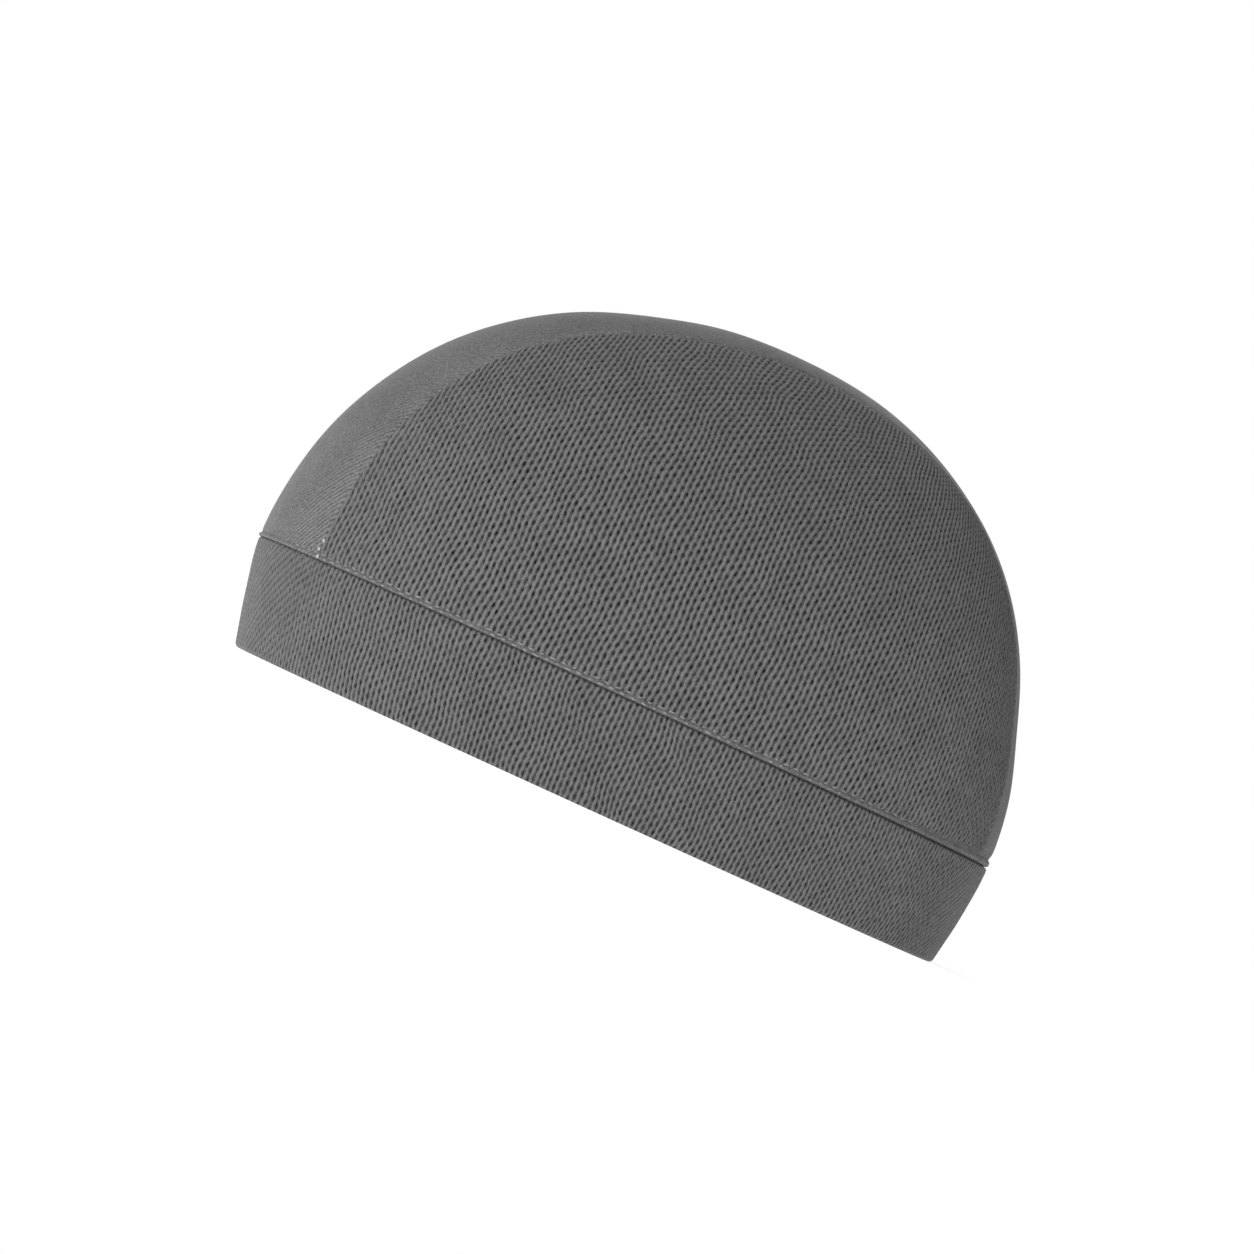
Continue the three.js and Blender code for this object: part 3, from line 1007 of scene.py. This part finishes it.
# %% Build the turned edges under the strip's seams
SIDE_RIDGE_WIDTH = 5.0
SIDE_RIDGE_THICK = 1.1
SIDE_RIDGE_BEHIND = 0.1
SIDE_RIDGE_FROM = RIDGE_LOW + RIDGE_HEIGHT + 1.5
SIDE_RIDGE_STEPS = 160


def strip_ridges():
    """A flat rounded ridge under each edge of the strip, from front to back."""
    cloth = Cloth("strip_allowance")
    ends = [math.atan2(SIDE_RIDGE_FROM - SEAM_HEIGHT, y) for y in foot_line[[0, -1], 1]]
    path_leans = np.linspace(*ends, SIDE_RIDGE_STEPS + 1)
    path = arch_point(strip_half_width(path_leans), path_leans)
    normal = outward(path)
    ahead = np.gradient(path, axis=0)
    ahead = ahead / np.linalg.norm(ahead, axis=-1, keepdims=True)
    sideways = np.cross(ahead, normal)
    angles = np.arange(RIDGE_SIDES) / RIDGE_SIDES * 2 * np.pi
    depths = CROWN_CLOTH + SIDE_RIDGE_BEHIND + SIDE_RIDGE_THICK / 2 * (1 - np.cos(angles))
    widths = SIDE_RIDGE_WIDTH / 2 * np.sin(angles)
    rings = path[:, None] - normal[:, None] * depths[:, None]
    rings = rings + sideways[:, None] * widths[:, None]
    along = lengths_along(path)[:, None]
    coords = np.stack(np.broadcast_arrays(widths, along), axis=-1)
    for side in (1, -1):
        numbers = cloth.add(rings * (side, 1, 1), coords)
        closed_tube(cloth, numbers, flip=side < 0)
    return cloth.build()


side_ridges = strip_ridges()

# %% [markdown]
# ## Materials
#
# All the cloth is polyester knit of one dark grey. What sets the pieces apart is how each
# was knitted. Colours are given as sRGB hex values, as they would be picked from a swatch.

# %% Colours and one helper for nodes
def linear(hex_colour):
    """An sRGB hex colour as the linear values that Blender works in."""
    channels = [int(hex_colour[i:i + 2], 16) / 255 for i in (1, 3, 5)]
    return (*[c / 12.92 if c <= 0.04045 else ((c + 0.055) / 1.055) ** 2.4 for c in channels], 1)


def add_node(tree, kind, inputs=None, **settings):
    """Adds a node with its settings, and sets or links its inputs."""
    made = tree.nodes.new(kind)
    for name, value in settings.items():
        setattr(made, name, value)
    for key, value in (inputs or {}).items():
        if isinstance(value, bpy.types.NodeSocket):
            tree.links.new(value, made.inputs[key])
        else:
            made.inputs[key].default_value = value
    return made


def new_material(name):
    """An empty material with its output, and the node tree to fill."""
    material = bpy.data.materials.new(name)
    material.use_nodes = True
    tree = material.node_tree
    tree.nodes.clear()
    return material, tree


# %% [markdown]
# ### Bird's-eye polyester, knitted with open pores
#
# The knit coordinates count columns and steps, so the material finds each hole by rounding
# them, just as the mesh did. The holes show the dark between the yarns, each to its own
# depth and a little out of line, and they open widest where the cloth is stretched over the
# side of the head. The ribs wind round them like a loose rope, with two loops to a step, and
# some lengths of yarn are paler than others. The filaments are far too fine to draw, and a
# fleck of 0.4 mm stands for them. A slow mottle keeps the grey from looking printed, and a
# weak sheen lifts it where the cloth turns away. The rolled foot of a panel has no holes:
# there the cloth is folded tight over its seam.

# %% The knit material, made twice: open for the crown and closed for the band
PORE_HALF_WIDTH = 0.17
PORE_HALF_LENGTH = 0.23
PORE_STRAY = 0.09
PORE_EDGE = (1.4, 0.6)
RIB_EDGE = (0.42, 0.1)
# Painted highlight: the rolled foot has no ribs and gets this one even tone, paler than the knit's
# middle, for the light along its top.
ROLL_TONE_AND_HIGHLIGHT = 0.65
CLOSED_LOSS = 0.14
CIRCLE = 2 * math.pi

# How far from the cap's middle plane the holes begin to open and are open, and the same for
# Y, from the nape forwards, with the shares to which they are open before that
OPEN_FROM_MIDDLE = (25 * MM, 60 * MM)
OPEN_OVER_MIDDLE = 0.5
OPEN_FROM_NAPE = (95 * MM, 30 * MM)
OPEN_AT_NAPE = 0.4

# The knit row where the roll ends, at the side and at the nape, and the painted shade of the
# first row, as the share of its tone that it keeps, in front and at the back
ROLL_ENDS = (-0.4, -0.12)
PAINTED_FOLD_SHADES = (0.75, 0.2)

# The mottle is about 7 mm wide and the lengths of paler yarn about two thirds of a step. The
# flecks stand for filaments of 0.02 mm, and are 0.36 mm wide, as fine as the render shows.
MOTTLES_PER_MM = 0.14
YARNS_PER_STEP = 1.3
FLECKS_PER_MM = 2.8
FLECK_SHARE = 0.7
YARN_SHARE = 0.4
LOOP_SHARE = 0.06


def knit_material(name, rib, groove, hole, hole_share, slant_share, shaded_row):
    """Knit with ribs, the grooves between them and pores, in the three colours given. Towards
    the forehead and the nape the holes may close until only the slant of the ribs shows. The
    first row, which lies in the seam fold, is darkened with painted shade."""
    material, tree = new_material(name)

    def math_node(operation, *values):
        inputs = dict(enumerate(values))
        return add_node(tree, "ShaderNodeMath", inputs, operation=operation).outputs[0]

    def ramp(value, low, high, low_output=0.0, high_output=1.0):
        """Runs smoothly from one output to the other as the value goes from low to high."""
        inputs = {"Value": value, "From Min": low, "From Max": high,
                  "To Min": low_output, "To Max": high_output}
        kind = "ShaderNodeMapRange"
        return add_node(tree, kind, inputs, interpolation_type="SMOOTHSTEP").outputs[0]

    coords = add_node(tree, "ShaderNodeUVMap", uv_map="knit").outputs[0]
    split = add_node(tree, "ShaderNodeSeparateXYZ", {0: coords})
    columns, rows = split.outputs[0], split.outputs[1]
    column = math_node("FLOOR", math_node("ADD", columns, 0.5))
    odd = math_node("FLOORED_MODULO", column, 2.0)
    shifted = math_node("MULTIPLY_ADD", odd, 0.5, rows)
    row = math_node("FLOOR", math_node("ADD", shifted, 0.5))
    across = math_node("SUBTRACT", columns, column)
    along = math_node("SUBTRACT", shifted, row)
    hole_number = add_node(tree, "ShaderNodeCombineXYZ", {0: column, 1: row}).outputs[0]
    chance = add_node(tree, "ShaderNodeTexWhiteNoise", {0: hole_number},
                      noise_dimensions="3D").outputs["Color"]
    luck, aside, ahead = add_node(tree, "ShaderNodeSeparateXYZ", {0: chance}).outputs
    across = math_node("ADD", across, ramp(aside, 0.0, 1.0, -PORE_STRAY, PORE_STRAY))
    along = math_node("ADD", along, ramp(ahead, 0.0, 1.0, -PORE_STRAY, PORE_STRAY))
    wide = math_node("DIVIDE", across, PORE_HALF_WIDTH)
    long = math_node("DIVIDE", along, PORE_HALF_LENGTH)
    away = math_node("SQRT", math_node("ADD", math_node("MULTIPLY", wide, wide),
                                       math_node("MULTIPLY", long, long)))
    place = add_node(tree, "ShaderNodeTexCoord").outputs["Object"]
    across_cap, along_cap, _ = add_node(tree, "ShaderNodeSeparateXYZ", {0: place}).outputs
    from_middle = math_node("ABSOLUTE", across_cap)
    stretched = math_node("MULTIPLY", ramp(from_middle, *OPEN_FROM_MIDDLE, OPEN_OVER_MIDDLE),
                          ramp(along_cap, *OPEN_FROM_NAPE, OPEN_AT_NAPE))
    ends = [ramp(along_cap, start * MM, end * MM, 0.0, slant_share)
            for start, end in (CLOSED_AT_FRONT, CLOSED_AT_BACK)]
    slanted = math_node("MAXIMUM", *ends)
    over_roll = math_node("SUBTRACT", rows, ramp(along_cap, 0.0, 100 * MM, *ROLL_ENDS))
    past_roll = ramp(over_roll, 0.0, 0.2)
    open_share = math_node("MULTIPLY_ADD", luck, 1 - hole_share, hole_share)
    open_share = math_node("MULTIPLY", open_share, math_node("MULTIPLY", stretched, past_roll))
    open_share = math_node("MULTIPLY", open_share, math_node("SUBTRACT", 1.0, slanted))
    pore = math_node("MULTIPLY", ramp(away, *PORE_EDGE), open_share)

    # The ribs stand between the columns of holes and bend away from each hole
    left = math_node("FLOOR", columns)
    turned = math_node("MULTIPLY_ADD", math_node("FLOORED_MODULO", left, 2.0), -2.0, 1.0)
    sway = math_node("MULTIPLY", math_node("COSINE", math_node("MULTIPLY", rows, CIRCLE)), turned)
    over_rib = math_node("SUBTRACT", math_node("SUBTRACT", columns, left), 0.5)
    from_crest = math_node("ABSOLUTE", math_node("MULTIPLY_ADD", sway, -RIB_BEND, over_rib))
    # On the roll the ribs give way to one even tone, a painted highlight.
    upright_rib = add_node(tree, "ShaderNodeMix", {
        0: past_roll, 2: ROLL_TONE_AND_HIGHLIGHT, 3: ramp(from_crest, *RIB_EDGE),
    }).outputs[0]
    slant_count = math_node("MULTIPLY_ADD", columns, 0.5, math_node("MULTIPLY", rows, -1.0))
    slant_rib = math_node("COSINE", math_node("MULTIPLY", slant_count, CIRCLE))
    slant_rib = math_node("MULTIPLY_ADD", slant_rib, -0.5, 0.5)
    rib_line = add_node(tree, "ShaderNodeMix",
                        {0: slanted, 2: upright_rib, 3: slant_rib}).outputs[0]
    loop_count = math_node("MULTIPLY_ADD", rows, 2.0, over_rib)
    loops = math_node("SINE", math_node("MULTIPLY", loop_count, CIRCLE))

    # The tone of a rib is its height, with flecks, paler lengths of yarn and the loops added
    mottle = add_node(tree, "ShaderNodeTexNoise",
                      {"Vector": place, "Scale": MOTTLES_PER_MM / MM, "Detail": 3.0}).outputs[0]
    fleck = add_node(tree, "ShaderNodeTexNoise",
                     {"Vector": place, "Scale": FLECKS_PER_MM / MM, "Detail": 2.0}).outputs[0]
    yarn = add_node(tree, "ShaderNodeTexNoise",
                    {"Vector": coords, "Scale": YARNS_PER_STEP, "Detail": 1.0}).outputs[0]
    contrast = math_node("MULTIPLY_ADD", stretched, 0.5, 0.45)
    rib_tone = math_node("MULTIPLY", math_node("SUBTRACT", rib_line, 0.5), contrast)
    rib_tone = math_node("MULTIPLY_ADD", ramp(fleck, 0.3, 0.7), FLECK_SHARE, rib_tone)
    rib_tone = math_node("MULTIPLY_ADD", ramp(yarn, 0.3, 0.7), YARN_SHARE, rib_tone)
    rib_tone = math_node("MULTIPLY_ADD", loops, LOOP_SHARE, rib_tone)
    tone = add_node(tree, "ShaderNodeMix",
                    {0: rib_tone, 6: linear(groove), 7: linear(rib)}, data_type="RGBA")
    with_pores = add_node(tree, "ShaderNodeMix",
                          {0: pore, 6: tone.outputs[2], 7: linear(hole)}, data_type="RGBA")
    worn = add_node(tree, "ShaderNodeMapRange",
                    {"Value": mottle, "From Min": 0.3, "From Max": 0.7,
                     "To Min": 0.9, "To Max": 1.08})
    # Painted shade: the first knit row is darkened, a little in front and deeply at the nape, for
    # the shadow in the seam fold.
    fold_shade_tone = ramp(along_cap, -30 * MM, 80 * MM, *PAINTED_FOLD_SHADES)
    painted_fold_shade = ramp(rows, shaded_row, shaded_row + 0.2, fold_shade_tone)
    closed_tone = math_node("MULTIPLY_ADD", slanted, -CLOSED_LOSS, 1.0)
    shade = math_node("MULTIPLY", worn.outputs[0], math_node("MULTIPLY", painted_fold_shade, closed_tone))
    colour = add_node(tree, "ShaderNodeVectorMath",
                      {0: with_pores.outputs[2], 1: shade}, operation="MULTIPLY")

    yarns = math_node("MULTIPLY_ADD", loops, 0.12, math_node("MULTIPLY", fleck, 0.4))
    height = math_node("MULTIPLY_ADD", rib_line, 0.7, yarns)
    height = math_node("MULTIPLY_ADD", pore, -1.0, height)
    bump = add_node(tree, "ShaderNodeBump",
                    {"Height": height, "Strength": 0.7, "Distance": 0.35 * MM})
    shader = add_node(tree, "ShaderNodeBsdfPrincipled", {
        "Base Color": colour.outputs[0], "Roughness": 0.88, "Specular IOR Level": 0.25,
        "Sheen Weight": 0.25, "Sheen Roughness": 0.45, "Normal": bump.outputs[0],
    })
    add_node(tree, "ShaderNodeOutputMaterial", {0: shader.outputs[0]})
    return material


open_knit = knit_material(
    "polyester_birdseye_mesh_knit", "#737373", "#424242", "#030303", hole_share=0.5,
    slant_share=0.0, shaded_row=-0.88,
)
closed_knit = knit_material(
    "polyester_birdseye_folded_knit", "#717171", "#3f3f3f", "#0c0c0c", hole_share=0.35,
    slant_share=0.8, shaded_row=0.09,
)

# %% [markdown]
# ### Fine polyester jersey, knitted close
#
# The strip is a plain jersey whose loops slant across it in low ribs. They show at its ends
# and beside its seams, where it is pulled, and fade over the top. The filaments lie flat, so
# it is smoother than the mesh, with a fine grain and a soft shine.

# %% The jersey
SLANT_PITCH = 1.15
SLANT_TURN = math.radians(35)

# A wave texture of scale 1 repeats after this length
WAVE_UNIT = CIRCLE / 20

# The fuzz stands for filaments of 0.02 mm and is 0.56 mm wide, and the mottle is 17 mm wide
FUZZ_PER_MM = 1.8
SLOW_MOTTLES_PER_MM = 0.06


def jersey_material(name, light, dark):
    """Close jersey. The knit coordinates of the strip are millimetres across and along."""
    material, tree = new_material(name)

    def noise(vector, scale, detail=2.0):
        inputs = {"Vector": vector, "Scale": scale, "Detail": detail}
        return add_node(tree, "ShaderNodeTexNoise", inputs).outputs

    def multiply_add(value, factor, extra):
        inputs = {0: value, 1: factor, 2: extra}
        return add_node(tree, "ShaderNodeMath", inputs, operation="MULTIPLY_ADD").outputs[0]

    coords = add_node(tree, "ShaderNodeUVMap", uv_map="knit").outputs[0]
    turned = add_node(tree, "ShaderNodeMapping",
                      {"Vector": coords, "Rotation": (0, 0, SLANT_TURN)}).outputs[0]
    bent = add_node(tree, "ShaderNodeVectorMath",
                    {0: noise(turned, 0.15)["Color"], 1: (1.2, 1.2, 0), 2: turned},
                    operation="MULTIPLY_ADD")
    ribs = add_node(tree, "ShaderNodeTexWave",
                    {"Vector": bent.outputs[0], "Scale": WAVE_UNIT / SLANT_PITCH},
                    bands_direction="X").outputs["Fac"]
    place = add_node(tree, "ShaderNodeTexCoord").outputs["Object"]
    across_cap, _, climb_height = add_node(tree, "ShaderNodeSeparateXYZ", {0: place}).outputs
    low_down = add_node(tree, "ShaderNodeMapRange",
                        {"Value": climb_height, "From Min": 40 * MM, "From Max": 100 * MM,
                         "To Min": 1.0, "To Max": 0.2}).outputs[0]
    from_middle = add_node(tree, "ShaderNodeMath", {0: across_cap}, operation="ABSOLUTE")
    near_seam = add_node(tree, "ShaderNodeMapRange",
                         {"Value": from_middle.outputs[0], "From Min": 8 * MM,
                          "From Max": 28 * MM, "To Min": 0.45, "To Max": 1.0}).outputs[0]
    shown = multiply_add(low_down, near_seam, 0.0)
    ribs = multiply_add(multiply_add(ribs, 1.0, -0.5), shown, 0.5)
    fuzz = noise(place, FUZZ_PER_MM / MM)[0]
    mottle = noise(place, SLOW_MOTTLES_PER_MM / MM)[0]
    grain = multiply_add(fuzz, 1.7, multiply_add(mottle, 0.35, -0.225))
    share = add_node(tree, "ShaderNodeMapRange",
                     {"Value": multiply_add(ribs, 0.5, grain), "From Min": 0.65,
                      "From Max": 1.45})
    colour = add_node(tree, "ShaderNodeMix",
                      {0: share.outputs[0], 6: linear(dark), 7: linear(light)},
                      data_type="RGBA")
    bump = add_node(tree, "ShaderNodeBump", {
        "Height": multiply_add(ribs, 1.0, fuzz), "Strength": 0.6, "Distance": 0.3 * MM,
    })
    shader = add_node(tree, "ShaderNodeBsdfPrincipled", {
        "Base Color": colour.outputs[2], "Roughness": 0.75, "Specular IOR Level": 0.3,
        "Sheen Weight": 0.25, "Sheen Roughness": 0.3, "Normal": bump.outputs[0],
    })
    add_node(tree, "ShaderNodeOutputMaterial", {0: shader.outputs[0]})
    return material


jersey = jersey_material("polyester_fine_jersey", "#828282", "#4a4a4a")

# %% [markdown]
# ### Spun polyester thread
#
# The thread is twisted tight and catches the light more than the knit does, and its colour is
# painted paler than the knit's as a painted highlight, so the stitches read as small pale
# dashes. The few stitches at the strip's corners are pulled tighter still and read as bright
# points, so their colour is painted paler still, a painted highlight.

# %% The thread, and which piece is made of what
TWISTS_PER_MM = 3.0


def thread_material(name, colour):
    """Twisted thread, with its twist as a fine noise."""
    material, tree = new_material(name)
    place = add_node(tree, "ShaderNodeTexCoord").outputs["Object"]
    twist = add_node(tree, "ShaderNodeTexNoise",
                     {"Vector": place, "Scale": TWISTS_PER_MM / MM, "Detail": 1.0}).outputs[0]
    bump = add_node(tree, "ShaderNodeBump",
                    {"Height": twist, "Strength": 0.4, "Distance": 0.05 * MM})
    shader = add_node(tree, "ShaderNodeBsdfPrincipled", {
        "Base Color": linear(colour), "Roughness": 0.55, "Specular IOR Level": 0.4,
        "Normal": bump.outputs[0],
    })
    add_node(tree, "ShaderNodeOutputMaterial", {0: shader.outputs[0]})
    return material


# Painted highlight: both thread colours are paler than the knit, for the light that the thread
# catches.
thread = thread_material("spun_polyester_thread_painted_highlight", "#989898")
tack_thread = thread_material("polyester_tack_thread_painted_highlight", "#c4c4c4")

dressing = [
    (left_panel, open_knit, "mesh_knit"),
    (right_panel, open_knit, "mesh_knit"),
    (strip, jersey, "smooth_knit"),
    (band, closed_knit, "band_knit"),
    (ridge, jersey, "band_knit"),
    (side_ridges, jersey, "smooth_knit"),
    (seam_stitches, thread, "band_knit"),
    (corner_stitches, tack_thread, "band_knit"),
]
for piece, material, slot in dressing:
    piece.data.materials.append(material)
    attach(piece, "root")

# %% [markdown]
# ## Studio
#
# The cap stands on its rim on a plain white floor. The photograph was taken from slightly
# below the rim, and here the floor is in the way, so the camera stays just above it. Its
# turn round the cap and its roll are the photograph's. From here on lengths are in metres.

# %% The floor
FLOOR_REACH = 6.0
floor_corners = [(x * FLOOR_REACH, y * FLOOR_REACH, 0)
                 for x, y in ((-1, -1), (1, -1), (1, 1), (-1, 1))]
floor_mesh = bpy.data.meshes.new("floor")
floor_mesh.from_pydata(floor_corners, [], [(0, 1, 2, 3)])
floor = bpy.data.objects.new("floor", floor_mesh)
bpy.context.collection.objects.link(floor)
paper, tree = new_material("matt_white_paper")
shader = add_node(tree, "ShaderNodeBsdfPrincipled", {
    "Base Color": linear("#fafafa"), "Roughness": 0.95, "Specular IOR Level": 0.1,
    "Emission Color": linear("#ffffff"), "Emission Strength": 0.75,
})
add_node(tree, "ShaderNodeOutputMaterial", {0: shader.outputs[0]})
floor.data.materials.append(paper)

# %% [markdown]
# ### Light
#
# The photograph is lit softly, and its greys fade from the forehead to the nape. One way
# would be several lamps. A room that is bright on one side gives the same fade with no hard
# edge: a white wall stands behind the cap, and before it the light falls off towards the
# nape. It comes from the front and a little from below, so the top of the cap is no
# brighter than its side. One large lamp adds the little shadow that makes each rib round.

# %% The room: a white wall behind, and light that fades towards the nape
WALL_DIRECTION = (-0.978, 0.208, 0.0)
BRIGHT_DIRECTION = (0.54, -0.72, -0.44)
ROOM_DIM = 0.06
ROOM_BRIGHT = 1.08

world = bpy.data.worlds.new("studio")
world.use_nodes = True
bpy.context.scene.world = world
tree = world.node_tree
background = tree.nodes["Background"]
background.inputs["Color"].default_value = linear("#ffffff")
direction = add_node(tree, "ShaderNodeTexCoord").outputs["Generated"]
towards_wall = add_node(tree, "ShaderNodeVectorMath", {0: direction, 1: WALL_DIRECTION},
                        operation="DOT_PRODUCT").outputs["Value"]
towards_bright = add_node(tree, "ShaderNodeVectorMath", {0: direction, 1: BRIGHT_DIRECTION},
                          operation="DOT_PRODUCT").outputs["Value"]
wall = add_node(tree, "ShaderNodeMapRange",
                {"Value": towards_wall, "From Min": 0.7, "From Max": 0.95})
room = add_node(tree, "ShaderNodeMapRange",
                {"Value": towards_bright, "From Min": -0.55, "From Max": 0.9,
                 "To Min": ROOM_DIM, "To Max": ROOM_BRIGHT})
light = add_node(tree, "ShaderNodeMath", {0: wall.outputs[0], 1: room.outputs[0]},
                 operation="MAXIMUM")
tree.links.new(light.outputs[0], background.inputs["Strength"])

# %% The lamp
CAP_MIDDLE = Vector((0, 0, 0.06))


def area_lamp(name, azimuth, elevation, distance, size, power):
    """A square lamp that looks at the cap's middle, placed by its angles in degrees."""
    lamp = bpy.data.lights.new(name, "AREA")
    lamp.size, lamp.energy = size, power
    holder = bpy.data.objects.new(name, lamp)
    bpy.context.collection.objects.link(holder)
    a, e = math.radians(azimuth), math.radians(elevation)
    away = Vector((math.sin(a) * math.cos(e), -math.cos(a) * math.cos(e), math.sin(e)))
    holder.location = CAP_MIDDLE + away * distance
    holder.rotation_mode = "QUATERNION"
    holder.rotation_quaternion = (-away).to_track_quat("-Z", "Y")


area_lamp("key", azimuth=52, elevation=5, distance=1.6, size=0.9, power=14)
bpy.context.scene.view_settings.view_transform = "Standard"

# %% [markdown]
# ### Camera
#
# In the photograph's frame of 1254 pixels the cap measures 3.9 pixels a millimetre, and the
# frame's middle lies 7 mm in front of the cap's middle and 46 mm above its rim. A camera could
# be turned by eye until the two pictures match. Here its lens follows from those numbers and
# from its distance, and its place from the two angles.

# %% The camera
FRAME_PIXELS = 1254
PIXELS_PER_MM = 3.9
CAMERA_AZIMUTH = math.radians(78)
CAMERA_ROLL = math.radians(24.5)
CAMERA_DISTANCE = 1.2
CAMERA_HEIGHT = 0.010
AIM_ALONG = -0.0074
AIM_HEIGHT = 0.0460
SENSOR_WIDTH = 36.0

sideways = Vector((math.cos(CAMERA_AZIMUTH), math.sin(CAMERA_AZIMUTH), 0))
towards_camera = Vector((math.sin(CAMERA_AZIMUTH), -math.cos(CAMERA_AZIMUTH), 0))
aim = sideways * AIM_ALONG + Vector((0, 0, AIM_HEIGHT))
place = sideways * AIM_ALONG + towards_camera * CAMERA_DISTANCE + Vector((0, 0, CAMERA_HEIGHT))
camera_data = bpy.data.cameras.new("camera")
camera_data.sensor_width = SENSOR_WIDTH
camera_data.lens = SENSOR_WIDTH * PIXELS_PER_MM * (CAMERA_DISTANCE / MM) / FRAME_PIXELS
camera = bpy.data.objects.new("camera", camera_data)
bpy.context.collection.objects.link(camera)
upright = (aim - place).to_track_quat("-Z", "Y").to_matrix()
camera.matrix_world = (
    Matrix.Translation(place) @ (upright @ Matrix.Rotation(CAMERA_ROLL, 3, "Z")).to_4x4()
)
bpy.context.scene.camera = camera
print("lens, mm:", round(camera_data.lens, 1))
